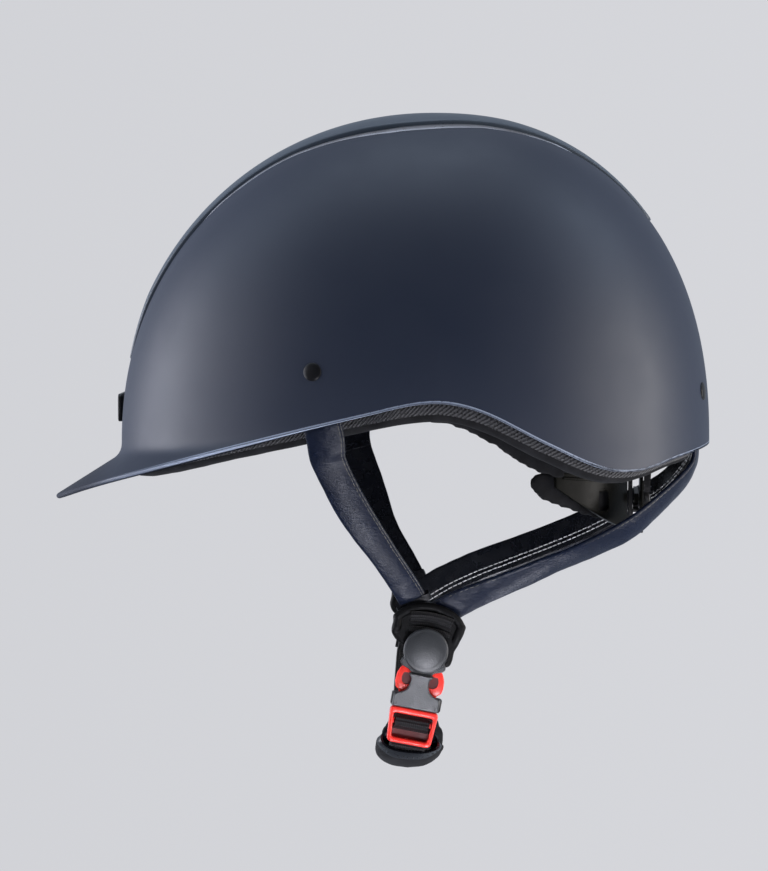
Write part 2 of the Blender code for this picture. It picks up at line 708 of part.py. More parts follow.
def chin_strap(frames, loop, slide):
    path = smooth_path(LOOP_PATH, 30)
    outward = []
    for i, point in enumerate(path):
        along = path[min(i + 1, 29)] - path[max(i - 1, 0)]
        outward.append(along.cross(Y_AXIS).normalized())
    strap("chin_webbing", path, outward, WEBBING_WIDTH, WEBBING_THICKNESS, "black_webbing", slide)
    inner = path[2:25]
    strap("chin_pad", inner, outward[2:25], PAD_WIDTH, 4.0, "mesh_fabric", slide, -(WEBBING_THICKNESS / 2 + GAP + 2.0))
    outer = path[5:23]
    strap("chin_pad_cover", outer, outward[5:23], PAD_WIDTH, 1.2, "mesh_fabric", slide, WEBBING_THICKNESS / 2 + GAP + 0.6)
    frame = frames["right"]
    outline = [(9.0 * math.cos(math.radians(a)), 9.0 * math.sin(math.radians(a))) for a in range(-180, 1, 20)]
    outline += [(10.5, 7), (10.5, 14.4), (-10.5, 14.4), (-10.5, 7)]
    hanger = plate("strap_hanger", outline, frame, GAP, 3.6, "grey_plastic", loop)
    boolean(hanger, plate("hanger_pivot_cutter", circle(3.4, 16), frame, -1, 6, "grey_plastic", loop))
    boolean(hanger, plate("hanger_slot_cutter", box_outline(-8.6, 8.6, 9.2, 11.8), frame, -1, 6, "grey_plastic", loop))


# ---- cradle ----


def cradle_plan(x, depth=0.0):
    """The cradle arms' ellipse in plan, on its left half."""
    share = min(abs(x) / (CRADLE_HALF_WIDTH - depth), 1)
    return CRADLE_CENTRE_Y + (CRADLE_REACH - depth) * math.sqrt(1 - share * share)


def arm_band(name, sign, turns, depth, thickness, heights, finish, parent, steps=12):
    """A curved band of the cradle; turns are its end angles from the nape, and heights gives its top and bottom."""
    sections = []
    for i in range(steps + 1):
        turn = math.radians(turns[0] + (turns[1] - turns[0]) * i / steps)
        top, bottom = heights(i / steps)
        section = []
        for d, z in ((depth, bottom), (depth, top), (depth + thickness, top), (depth + thickness, bottom)):
            x = (CRADLE_HALF_WIDTH - d) * math.sin(turn)
            y = CRADLE_CENTRE_Y + (CRADLE_REACH - d) * math.cos(turn)
            section.append(Vector((sign * x, y, z)))
        sections.append(section)
    return loft(name, sections, finish, parent=parent)


def toothed(length_from, length_to, edge_z, back_z, teeth_from, teeth_to):
    """A rack's outline in x and z, with a gap between teeth at x = 0."""
    toward = math.copysign(1, edge_z - back_z)
    tip, root = edge_z + toward * 0.55, edge_z - toward * 0.85
    points = [(length_from, back_z), (length_from, root)]
    k = math.ceil((teeth_from - TOOTH_PITCH / 2) / TOOTH_PITCH)
    while (k + 0.5) * TOOTH_PITCH < teeth_to:
        middle = (k + 0.5) * TOOTH_PITCH
        points += [(middle - 0.62, root), (middle - 0.26, tip), (middle + 0.26, tip), (middle + 0.62, root)]
        k += 1
    return points + [(length_to, root), (length_to, back_z)]


def pinion_outline():
    points = []
    for k in range(PINION_TEETH):
        middle = 2 * math.pi * k / PINION_TEETH + math.pi / 2
        for offset, radius in ((-0.155, 3.9), (-0.055, 5.3), (0.055, 5.3), (0.155, 3.9)):
            points.append((radius * math.cos(middle + offset), radius * math.sin(middle + offset)))
    return points


def cradle(tilt, dial, racks):
    back = (Vector((0, 0, 0)), X_AXIS, Z_AXIS, Y_AXIS)
    bracket = plate("hinge_bracket", box_outline(-25, 25, HINGE_Z - 5, HINGE_Z + 7), back, 113.6, 115.0, "steel")
    across = (Vector((0, 0, 0)), Y_AXIS, Z_AXIS, X_AXIS)
    for side, sign in SIDES.items():
        lug = box_outline(HINGE_Y - 3.2, 114.2, HINGE_Z - 3.2, HINGE_Z + 3.2)
        boolean(bracket, plate(f"lug_{side}", lug, across, sign * 20, sign * 22.5, "steel"), "UNION")
    pin_hole = [(1.8, -30), (1.8, 30)]
    hinge = Vector((0, HINGE_Y, HINGE_Z))
    boolean(bracket, turned("bracket_pin_cutter", pin_hole, hinge, X_AXIS, "steel", sides=12))
    turned("hinge_pin", [(1.5, -23.5), (1.5, 23.5)], hinge, X_AXIS, "steel", sides=12)

    eye = circle(2.7, 14, HINGE_Y, HINGE_Z)
    hanger = plate("cradle_hanger", eye, across, -8, 8, "black_plastic", tilt)
    arm = [(HINGE_Y - 2.4, HINGE_Z - 1), (HINGE_Y - 3.4, -23.6), (HINGE_Y - 0.6, -23.6), (HINGE_Y + 1.4, HINGE_Z - 1.2)]
    boolean(hanger, plate("hanger_arm", arm, across, -7, 7, "black_plastic", tilt), "UNION")
    boolean(hanger, turned("hanger_pin_cutter", pin_hole, hinge, X_AXIS, "steel", tilt, 12))

    base_y, rack_y, cover_y = 100.0, 102.1, 105.1
    plate("yoke_base", box_outline(-21, 21, -41.4, -15), back, base_y, base_y + 1.6, "black_plastic", tilt)
    cover = plate("yoke_cover", box_outline(-21, 21, -41.4, -15), back, cover_y, cover_y + 1.6, "gloss_black", tilt)
    axle = Vector((0, 0, DIAL_Z))
    boolean(cover, turned("dial_shaft_cutter", [(2.6, 100), (2.6, 110)], axle, Y_AXIS, "black_plastic", tilt, 12))
    for side, sign in SIDES.items():
        place = Vector((sign * 17.5, 0, DIAL_Z))
        boolean(cover, turned(f"screw_cutter_{side}", [(1.5, 103), (1.5, 110)], place, Y_AXIS, "steel", tilt, 10))
        profile = [(1.2, base_y + 1.9), (1.2, cover_y + 1.9), (2.6, cover_y + 1.9), (2.2, cover_y + 3.1)]
        turned(f"yoke_screw_{side}", profile, place, Y_AXIS, "steel", tilt, 10)
    knurl = []
    for k in range(48):
        radius = DIAL_RADIUS - (0.45 if k % 2 else 0)
        knurl.append((radius * math.cos(math.radians(7.5 * k)), DIAL_Z + radius * math.sin(math.radians(7.5 * k))))
    knob = plate("dial", knurl, back, cover_y + 1.9, 110.1, "black_plastic", dial)
    boolean(knob, turned("dial_shaft", [(2.2, 104.9), (2.2, 108)], axle, Y_AXIS, "black_plastic", dial, 12), "UNION")
    pinion = [(u, v + DIAL_Z) for u, v in pinion_outline()]
    plate("dial_pinion", pinion, back, rack_y, 104.6, "black_plastic", dial)

    upper = toothed(-13, 27, DIAL_Z + PINION_RADIUS, DIAL_Z + 9.6, -11.5, 12.5)
    lower = toothed(-27, 13, DIAL_Z - PINION_RADIUS, DIAL_Z - 9.0, -12.5, 11.5)
    for side, outline in (("left", upper), ("right", lower)):
        sign = SIDES[side]
        plate(f"rack_{side}", outline, back, rack_y + GAP, rack_y + 2.3, "gloss_black", racks[side])

        def arm_heights(share):
            return -14 + 4 * share, -38 + 21 * share**1.5
        arm_band(f"cradle_arm_{side}", sign, (24.9, 66), 1.2, 1.8, arm_heights, "gloss_black", racks[side])

        def pad_heights(share):
            return -15 + 7 * share, -36 + 17 * share**1.3
        arm_band(f"arm_pad_{side}", sign, (27.5, 77), 3.6, 4.0, pad_heights, "mesh_fabric", racks[side])
    plate("occipital_pad", box_outline(-19, 19, -38, -17), back, 95.4, base_y - GAP, "mesh_fabric", tilt)


def main():
    clear_scene()
    outer_shell()
    crest()
    crest_trims()
    vent_meshes()
    front_badge()
    plugs()
    liner()
    rim_roll()
    pads()
    anchors()
    harness_straps()
    frames = chin_frames()
    dividers(frames)
    loop = pivot("chin_swing", (PIVOTS["left"] + PIVOTS["right"]) / 2)
    origin, forward, down, _ = frames["left"]
    slide = pivot("buckle_release", origin + down * SOCKET_END)
    hinges = {side: pivot(f"prong_hinge_{side}", origin + forward * 7.0 * sign + down * 28.2)
              for side, sign in (("front", 1), ("rear", -1))}
    buckle(frames, loop, slide, hinges)
    chin_strap(frames, loop, slide)
    tilt = pivot("cradle_tilt", (0, HINGE_Y, HINGE_Z))
    dial = pivot("dial_turn", (0, 108, DIAL_Z))
    racks = {side: pivot(f"rack_{side}_slide", (0, 104, DIAL_Z)) for side in SIDES}
    cradle(tilt, dial, racks)


main()
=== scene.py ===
"""Looks of the riding helmet: shell, crest, fabric, leather, buckle and cradle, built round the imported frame.

Lengths are in millimetres until a mesh is made. +Z is up, the peak points along -Y, the wearer's left is +X.
"""

import math
import random

import bmesh
import bpy
import numpy as np
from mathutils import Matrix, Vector, noise


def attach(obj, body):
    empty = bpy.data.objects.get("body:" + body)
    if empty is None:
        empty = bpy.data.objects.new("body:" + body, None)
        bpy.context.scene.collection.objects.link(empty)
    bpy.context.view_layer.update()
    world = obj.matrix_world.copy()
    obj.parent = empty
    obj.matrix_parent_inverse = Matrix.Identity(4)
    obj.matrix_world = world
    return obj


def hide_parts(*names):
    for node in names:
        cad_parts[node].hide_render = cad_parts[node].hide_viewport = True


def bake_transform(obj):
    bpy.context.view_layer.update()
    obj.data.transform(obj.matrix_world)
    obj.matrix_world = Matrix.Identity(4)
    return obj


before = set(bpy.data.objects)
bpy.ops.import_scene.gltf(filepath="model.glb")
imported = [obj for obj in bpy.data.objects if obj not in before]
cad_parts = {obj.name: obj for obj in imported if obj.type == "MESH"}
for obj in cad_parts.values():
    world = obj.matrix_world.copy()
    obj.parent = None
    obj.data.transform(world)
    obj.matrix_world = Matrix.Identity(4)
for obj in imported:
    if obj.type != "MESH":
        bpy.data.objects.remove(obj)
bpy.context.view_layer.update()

MM = 0.001
random.seed(7)

# ---- driving sizes, the same as the frame's ----

HALF_WIDTH, FRONT_REACH, REAR_REACH, CENTRE_Y, DOME_HEIGHT = 108.0, 146.0, 129.5, 8.0, 151.2
PLAN_POWER, PROFILE_POWER = 2.25, 2.15
SHELL_THICKNESS = 2.4
RIM = [(-171, -26.4), (-150, -18.2), (-126, -10.6), (-77, 3.0), (-18, 17.8), (12, 23.7),
       (34, 19.9), (64, 4.9), (88, -6.2), (104, -8.0), (122, -3.2), (138, 0.2)]
ROLL_DROP = [(-130, 1.0), (-118, 3.2), (-72, 5.0), (-20, 7.0), (12, 8.5), (40, 8.0), (100, 5.0), (138, 5.0)]
PEAK_REACH, PEAK_SPREAD, PEAK_SLOPE, FILLET = 32.0, 36.0, 0.568, 5.0
LINER_DEPTH, LINER_THICKNESS, LINER_LIFT, PAD_DEPTH = 4.3, 14.0, 8.5, 19.5
ROLL_DEPTH, ROLL_HALF_WIDTH, ROLL_PRESSED, ROLL_CLEARANCE = 8.8, 6.0, 3.8, 1.0

CREST = [(15.3, 16), (30, 20), (58, 24.5), (85, 28), (110, 17.5), (123, 11), (134.5, 7)]
CREST_FRONT, CREST_REAR, CREST_RISE = 15.3, 134.5, 1.9
# Beside the crest: the width of the open slot, then that of the bright trim, against the angle over the crown.
SLOT = [(15.3, 0.7), (45, 0.7), (52, 0.5), (65.5, 0.4), (68, 1.5), (76, 2.1), (83, 1.5), (85, 0.5), (99.5, 0.5),
        (101.5, 1.5), (108, 2.2), (120, 1.5), (134.5, 0.6)]
TRIM = [(15.3, 0.3), (44, 0.5), (49, 1.3), (53, 2.1), (65, 2.7), (72, 3.0), (80, 4.4), (86, 6.0), (96, 6.0),
        (102, 3.8), (110, 2.0), (116, 0.9), (121, 0.3), (134.5, 0.3)]

STRAP_WIDTH, STRAP_THICKNESS = 15.0, 3.0
SIDES = {"left": 1, "right": -1}
FRONT_STRAPS = {
    "left": [(98.9, -38, 19.3), (99.1, -37, 11), (96.6, -34.2, 2), (91.5, -30, -8), (85, -21.9, -27.6),
             (75, -10.3, -46.8), (66, -2, -61), (61.3, 2.2, -69), (60.4, 5, -76)],
    "right": [(-98.9, -38, 19.3), (-99.1, -37.2, 11), (-96.8, -35.4, 2), (-92.5, -32.4, -11), (-87, -26, -27.6),
              (-77, -18.6, -48.6), (-68, -10.5, -64), (-61.3, -6, -73), (-60.4, -3.5, -80)],
}
REAR_STRAPS = {
    "left": [(24, 130.4, 5.3), (24.2, 130.4, -1), (25.8, 129.4, -8), (30.5, 125.4, -15), (39.5, 114, -25.5),
             (49, 100.3, -35.9), (57.5, 81.2, -46), (62.5, 62.2, -54.2), (63.2, 40.1, -64.4), (60.6, 21, -72.7)],
    "right": [(-24, 130.4, 5.3), (-24.2, 130.4, -1), (-25.6, 129.3, -7.5), (-29.2, 124.7, -14.5),
              (-39, 114.6, -25.5), (-50, 98, -35.4), (-58.5, 74.7, -47.3), (-63, 47, -58.8), (-63, 28, -66),
              (-60.6, 13, -72.5)],
}
TEMPLE_PLUG, NAPE_PLUG, PLUG_RADIUS = (72.7, 37.1), (166.8, 25.2), 4.1

PIVOTS = {"left": np.array((66, 8, -90.5)), "right": np.array((-66, -0.5, -94.5))}
HANG = np.array((0, -0.186, -0.983))
DISC_RADIUS, SOCKET_HALF_WIDTH, SOCKET_END, WAIST, FRAME_END = 10.15, 11.2, 27.0, 4.15, 43.5
LOOP_PATH = [(64.3, 2.2, -122.5), (64.0, 1.3, -129), (61.3, 0.2, -136.5), (53.5, -0.9, -142.8),
             (39, -1.6, -146.8), (20, -1.8, -149.0), (0, -2.2, -149.8), (-20, -2.8, -149.4),
             (-39, -3.6, -147.0), (-53, -4.2, -142.0), (-61, -4.6, -133.5), (-64, -4.2, -122),
             (-64.8, -3.2, -109.3)]
WEBBING_WIDTH, WEBBING_THICKNESS, PAD_WIDTH = 19.0, 1.6, 30.0

CRADLE_CENTRE_Y, CRADLE_HALF_WIDTH, CRADLE_REACH = 40.0, 67.0, 66.5
DIAL_Z, DIAL_RADIUS = -32.0, 7.7
GAP = 0.3


# ---- curves and surfaces ----


def smooth_value(points, x):
    """The height at x of a smooth curve through (x, height) points; x may be an array."""
    xs, ys = np.array(points, float).T
    slope = np.empty(len(xs))
    slope[1:-1] = (ys[2:] - ys[:-2]) / (xs[2:] - xs[:-2])
    slope[0], slope[-1] = (ys[1] - ys[0]) / (xs[1] - xs[0]), (ys[-1] - ys[-2]) / (xs[-1] - xs[-2])
    x = np.clip(x, xs[0], xs[-1])
    i = np.clip(np.searchsorted(xs, x, "right") - 1, 0, len(xs) - 2)
    step = xs[i + 1] - xs[i]
    t = (x - xs[i]) / step
    ends = ((2 * t - 3) * t * t + 1) * ys[i] + (3 - 2 * t) * t * t * ys[i + 1]
    return ends + ((t - 2) * t + 1) * t * step * slope[i] + (t - 1) * t * t * step * slope[i + 1]


def smooth_path(points, count):
    """Count points along a smooth curve through the given points."""
    points = np.array(points, float)
    steps = np.linspace(0, len(points) - 1, count)
    tracks = [smooth_value(list(enumerate(points[:, axis])), steps) for axis in range(3)]
    return np.stack(tracks, axis=1)


def fade(x, low, high):
    """0 below low, 1 above high, and smooth between."""
    t = np.clip((x - low) / (high - low), 0, 1)
    return t * t * (3 - 2 * t)


def unit(v):
    return v / np.linalg.norm(v, axis=-1, keepdims=True)


def stack(x, y, z):
    return np.stack(np.broadcast_arrays(x, y, z), axis=-1).astype(float)


def rim_height(y):
    return smooth_value(RIM, y)


def plan_direction(angle):
    s, c = np.sin(np.radians(angle)), np.cos(np.radians(angle))
    power = 2 / PLAN_POWER
    return np.copysign(abs(s) ** power, s), -np.copysign(abs(c) ** power, c)


def plan_point(angle, depth, share, z):
    ux, uy = plan_direction(angle)
    reach = np.where(uy < 0, FRONT_REACH, REAR_REACH) - depth
    return stack((HALF_WIDTH - depth) * ux * share, CENTRE_Y + reach * uy * share, z)


def wall_point(angle, z, depth=0.0):
    """The point of the dome at this plan angle and height, depth below the outer surface."""
    power = PROFILE_POWER + 0.1 * plan_direction(angle)[1]
    share = (1 - (np.maximum(z, 0) / (DOME_HEIGHT - depth)) ** power) ** (1 / power)
    return plan_point(angle, depth, share, z)


def dome_level(p, depth):
    y = p[..., 1]
    reach = np.where(y < CENTRE_Y, FRONT_REACH, REAR_REACH) - depth
    across, along = p[..., 0] / (HALF_WIDTH - depth), (y - CENTRE_Y) / reach
    share = (abs(across) ** PLAN_POWER + abs(along) ** PLAN_POWER) ** (1 / PLAN_POWER)
    power = PROFILE_POWER + 0.1 * along / np.maximum(share, 1e-9)
    return share**power + (np.maximum(p[..., 2], 0) / (DOME_HEIGHT - depth)) ** power


def onto_dome(start, direction, depth):
    """Where rays from inside meet the dome, depth below its surface."""
    near = np.zeros(np.broadcast_shapes(start.shape, direction.shape)[:-1])
    far, depth = near + 220.0, np.asarray(depth, float)
    for _ in range(40):
        middle = (near + far) / 2
        inside = dome_level(start + middle[..., None] * direction, depth) < 1
        near, far = np.where(inside, middle, near), np.where(inside, far, middle)
    return start + near[..., None] * direction


def crown_point(angle, x, depth):
    """The dome's point at side distance x, at an angle over the top from the front, about the dome's centre."""
    turn = np.radians(angle)
    return onto_dome(stack(x, CENTRE_Y, 0), stack(0, -np.cos(turn), np.sin(turn)) + 0 * stack(x, x, x), depth)


def plan_normal(angle):
    ux, uy = plan_direction(angle)
    reach = np.where(uy < 0, FRONT_REACH, REAR_REACH)
    nx = np.copysign(abs(ux) ** (PLAN_POWER - 1) / HALF_WIDTH, ux)
    ny = np.copysign(abs(uy) ** (PLAN_POWER - 1) / reach, uy)
    return unit(stack(nx, ny, 0))


def crest_half_width(angle):
    return smooth_value(CREST, angle)


def peak_reach(angle):
    angle = (angle + 180) % 360 - 180
    return PEAK_REACH * np.exp(-((angle / PEAK_SPREAD) ** 2))


def rim_at(angle):
    return rim_height(plan_point(angle, 0, 1, 0)[..., 1])


def lengths(points, closed=False):
    """The distance along a line of points to each of them, and to its start again if it is closed."""
    if closed:
        points = np.vstack([points, points[:1]])
    return np.concatenate([[0], np.cumsum(np.linalg.norm(np.diff(points, axis=0), axis=1))])


def evenly(points, count):
    """The same line with count points spaced evenly along it."""
    along = lengths(points)
    at = np.linspace(0, along[-1], count)
    return np.stack([np.interp(at, along, points[:, axis]) for axis in range(points.shape[1])], axis=1)


def ripple(points, scale, seed=0.0):
    """Smooth noise from -1 to 1 at points in mm, with features of about scale mm."""
    flat = np.asarray(points).reshape(-1, 3) / scale + seed
    values = [noise.noise(Vector(p)) for p in flat]
    return np.array(values).reshape(np.asarray(points).shape[:-1])


# ---- meshes ----


def make(name, points, faces, materials, body=None, smooth=40, uvs=None, slots=None, outward=True):
    """An object from points in millimetres. uvs has a (u, v) in metres for each corner of each face."""
    mesh = bpy.data.meshes.new(name)
    mesh.from_pydata((np.asarray(points, float) * MM).tolist(), [], [list(map(int, f)) for f in faces])
    if uvs is not None:
        layer = mesh.uv_layers.new(name="weave")
        layer.data.foreach_set("uv", np.array([c for face in uvs for c in face], np.float32).ravel())
    for material in materials if isinstance(materials, (list, tuple)) else [materials]:
        mesh.materials.append(material)
    if slots is not None:
        mesh.polygons.foreach_set("material_index", np.array(slots, np.int32))
    if outward:
        edit = bmesh.new()
        edit.from_mesh(mesh)
        bmesh.ops.recalc_face_normals(edit, faces=edit.faces)
        edit.to_mesh(mesh)
        edit.free()
    mesh.shade_smooth()
    mesh.set_sharp_from_angle(angle=math.radians(smooth))
    obj = bpy.data.objects.new(name, mesh)
    bpy.context.scene.collection.objects.link(obj)
    if body:
        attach(obj, body)
    return obj


def stands_for(obj, slot, *nodes):
    """The piece takes the place of these frame nodes, which are hidden; slot is not used."""
    if nodes:
        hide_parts(*nodes)
    return obj


def loft(name, sections, materials, body=None, closed=False, smooth=40, slot_of=None, cap_slot=0):
    """A solid through closed sections with the same number of points, capped, or closed into a ring."""
    sections = np.asarray(sections, float)
    total, count = sections.shape[:2]
    around = lengths(sections[total // 2], True) * MM
    along = lengths(sections.mean(axis=1), closed) * MM
    faces, uvs, slots = [], [], []
    for i in range(total if closed else total - 1):
        j = (i + 1) % total
        for k in range(count):
            n = (k + 1) % count
            faces.append((i * count + k, i * count + n, j * count + n, j * count + k))
            uvs.append([(along[a], around[b]) for a, b in ((i, k), (i, k + 1), (i + 1, k + 1), (i + 1, k))])
            slots.append(slot_of(i, k) if slot_of else 0)
    if not closed:
        for start in (0, (total - 1) * count):
            faces.append(tuple(range(start, start + count)))
            uvs.append([(0, 0)] * count)
            slots.append(cap_slot)
    obj = make(name, sections.reshape(-1, 3), faces, materials, body, smooth, uvs, slots)
    if not closed and count > 4:
        for face in obj.data.polygons[-2:]:
            face.use_smooth = False
    return obj


def skin(name, outer, inner, materials, body=None, closed=False, smooth=45):
    """A closed solid between two grids of points, each (rows, columns, 3)."""
    outer, inner = np.asarray(outer, float), np.asarray(inner, float)
    if closed:
        sections = np.concatenate([outer, inner[::-1]], axis=0).swapaxes(0, 1)
        return loft(name, sections, materials, body, True, smooth)
    rows, columns = outer.shape[:2]
    size = rows * columns
    faces = []
    for r in range(rows - 1):
        for c in range(columns - 1):
            a, b = r * columns + c, (r + 1) * columns + c
            faces += [(a, b, b + 1, a + 1), (size + a, size + a + 1, size + b + 1, size + b)]
    for c in range(columns - 1):
        for a in (c, (rows - 1) * columns + c):
            faces.append((a, a + 1, size + a + 1, size + a))
    for r in range(rows - 1):
        for a in (r * columns, r * columns + columns - 1):
            faces.append((a, a + columns, size + a + columns, size + a))
    points = np.concatenate([outer.reshape(-1, 3), inner.reshape(-1, 3)])
    return make(name, points, faces, materials, body, smooth)


def frames_along(path, outward):
    """For each point of a path: the outward direction square to it, and the direction across."""
    path, outward = np.asarray(path, float), np.asarray(outward, float)
    along = unit(np.gradient(path, axis=0))
    out = unit(outward - along * (along * outward).sum(axis=1, keepdims=True))
    return out, np.cross(along, out)


def band(name, path, outward, section, materials, body=None, **more):
    """A strip whose section is given as (across, out) points, the same all along or one list for each point."""
    out, across = frames_along(path, outward)
    section = np.asarray(section, float)
    if section.ndim == 2:
        section = np.broadcast_to(section, (len(path), *section.shape))
    sections = np.asarray(path)[:, None] + section[..., :1] * across[:, None] + section[..., 1:] * out[:, None]
    return loft(name, sections, materials, body, **more)


def turned(name, profile, origin, axis, materials, body=None, sides=56, smooth=35):
    """A solid of revolution; profile lists (radius, distance along axis), from one pole to the other."""
    axis = unit(np.asarray(axis, float))
    side = unit(np.cross(axis, (0.3, 0.9, 0.2)))
    other = np.cross(axis, side)
    turns = np.linspace(0, 2 * math.pi, sides, endpoint=False)
    ring = np.cos(turns)[:, None] * side + np.sin(turns)[:, None] * other
    sections = [np.asarray(origin, float) + axis * along + ring * radius for radius, along in profile]
    return loft(name, sections, materials, body, smooth=smooth)


def rounded(points, radius, steps=5):
    """A closed outline of (u, v) corners with each corner rounded."""
    points = np.array(points, float)
    out = []
    for i, corner in enumerate(points):
        before, after = points[i - 1] - corner, points[(i + 1) % len(points)] - corner
        a, b = np.linalg.norm(before), np.linalg.norm(after)
        reach = min(radius, 0.45 * a, 0.45 * b)
        start, end = corner + before / a * reach, corner + after / b * reach
        for t in np.linspace(0, 1, steps):
            out.append(start * (1 - t) ** 2 + corner * 2 * t * (1 - t) + end * t * t)
    return np.array(out)


def flowing(points, count):
    """A closed smooth outline through (u, v) points."""
    points = list(points)
    flat = np.array(points[-3:] + points + points[:3], float)
    steps = np.linspace(3, len(points) + 3, count, endpoint=False)
    return np.stack([smooth_value(list(enumerate(flat[:, axis])), steps) for axis in (0, 1)], axis=1)


def inset(outline, distance):
    """The outline moved inward by distance."""
    ahead, behind = np.roll(outline, -1, axis=0), np.roll(outline, 1, axis=0)
    area = (outline[:, 0] * ahead[:, 1] - ahead[:, 0] * outline[:, 1]).sum()
    along = ahead - behind
    along /= np.maximum(np.linalg.norm(along, axis=1, keepdims=True), 1e-9)
    inward = np.stack([-along[:, 1], along[:, 0]], axis=1) * np.sign(area)
    return outline + inward * distance


def on_frame(where, flat, w):
    """(u, v) points at distance w along the frame's third axis."""
    origin, u_axis, v_axis, w_axis = where
    return origin + flat[:, :1] * u_axis + flat[:, 1:] * v_axis + w * w_axis


def slab(name, outline, where, low, high, edge, materials, body=None, hole=None, steps=4, margin=0.0):
    """A plate with rounded edges from low to high on a frame, with an optional hole of as many points.

    A margin adds a flat border inside the rounded edges, which keeps a wide plate's faces evenly shaded.
    """
    turns = np.linspace(0, math.pi / 2, steps)
    profile = [(edge * (1 - math.sin(t)), low + edge * (1 - math.cos(t))) for t in turns]
    profile += [(edge * (1 - math.cos(t)), high - edge * (1 - math.sin(t))) for t in turns]
    if margin:
        profile = [(edge + margin, low), *profile, (edge + margin, high)]
    outside = [on_frame(where, inset(outline, d), w) for d, w in profile]
    if hole is None:
        return loft(name, outside, materials, body, smooth=35)
    inside = [on_frame(where, inset(hole, -d), w) for d, w in reversed(profile)]
    return loft(name, np.array(outside + inside).swapaxes(0, 1), materials, body, closed=True, smooth=35)


def cut(base, cutter):
    """Takes the cutter's solid out of the base and removes the cutter."""
    modifier = base.modifiers.new("cut", "BOOLEAN")
    modifier.operation, modifier.solver, modifier.object = "DIFFERENCE", "EXACT", cutter
    settle(base)
    bpy.data.objects.remove(cutter, do_unlink=True)
    return base


def settle(obj):
    """Replaces the object's mesh by what its modifiers make of it."""
    bpy.context.view_layer.update()
    graph = bpy.context.evaluated_depsgraph_get()
    mesh = bpy.data.meshes.new_from_object(obj.evaluated_get(graph))
    obj.modifiers.clear()
    obj.data = mesh
    return obj


def between_rings(start, sides):
    """The faces between a ring of points, numbered from start, and the next ring."""
    ahead = [(k + 1) % sides for k in range(sides)]
    return [(start + k, start + n, start + sides + n, start + sides + k) for k, n in enumerate(ahead)]


def oblong(half, low, high, radius, steps):
    """A rounded rectangle, half to each side, from low to high."""
    return rounded([(half, high), (-half, high), (-half, low), (half, low)], radius, steps)


def paint(obj, name, values):
    """Stores a value at each point, for the object's material to read."""
    layer = obj.data.attributes.new(name, "FLOAT", "POINT")
    layer.data.foreach_set("value", values.ravel().astype(np.float32))


def stitches(name, path, outward, material, body, lift=0.0, length=2.0, pitch=2.9, radius=0.24, wander=0.06):
    """A row of thread stitches along a path; each is a short capsule whose ends dip into the material."""
    along = lengths(np.asarray(path))
    out, _ = frames_along(path, outward)
    rows = []
    for start in np.arange(pitch, along[-1] - pitch, pitch):
        ring_centres = []
        for t in (-0.5, -0.36, 0, 0.36, 0.5):
            at = start + t * length
            centre = np.array([np.interp(at, along, path[:, axis]) for axis in range(3)])
            up = unit(np.array([np.interp(at, along, out[:, axis]) for axis in range(3)]))
            ring_centres.append((centre + up * (lift + radius * (0.3 - 3.2 * t * t)), up))
        ahead = unit(ring_centres[-1][0] - ring_centres[0][0])
        shift = wander * random.uniform(-1, 1)
        for (centre, up), size in zip(ring_centres, (0.45, 0.9, 1, 0.9, 0.45)):
            side = np.cross(ahead, up)
            turns = np.linspace(0, 2 * math.pi, 6, endpoint=False)
            ring = np.cos(turns)[:, None] * side + np.sin(turns)[:, None] * up
            rows.append(centre + side * shift + ring * radius * size)
    points, faces = np.array(rows), []
    for s in range(0, len(rows), 5):
        faces += [tuple(6 * s + k for k in range(6)), tuple(6 * (s + 4) + k for k in range(6))]
        for r in range(s, s + 4):
            faces += between_rings(6 * r, 6)
    return make(name, points.reshape(-1, 3), faces, material, body, smooth=80)


# ---- materials ----


def node(tree, kind, inputs=None, **settings):
    """A shader node; inputs maps a socket's name or number to a value or to the output that feeds it."""
    made = tree.nodes.new("ShaderNode" + kind)
    for key, value in settings.items():
        setattr(made, key, value)
    for key, value in (inputs or {}).items():
        if isinstance(value, bpy.types.NodeSocket):
            tree.links.new(value, made.inputs[key])
        else:
            made.inputs[key].default_value = value
    return made


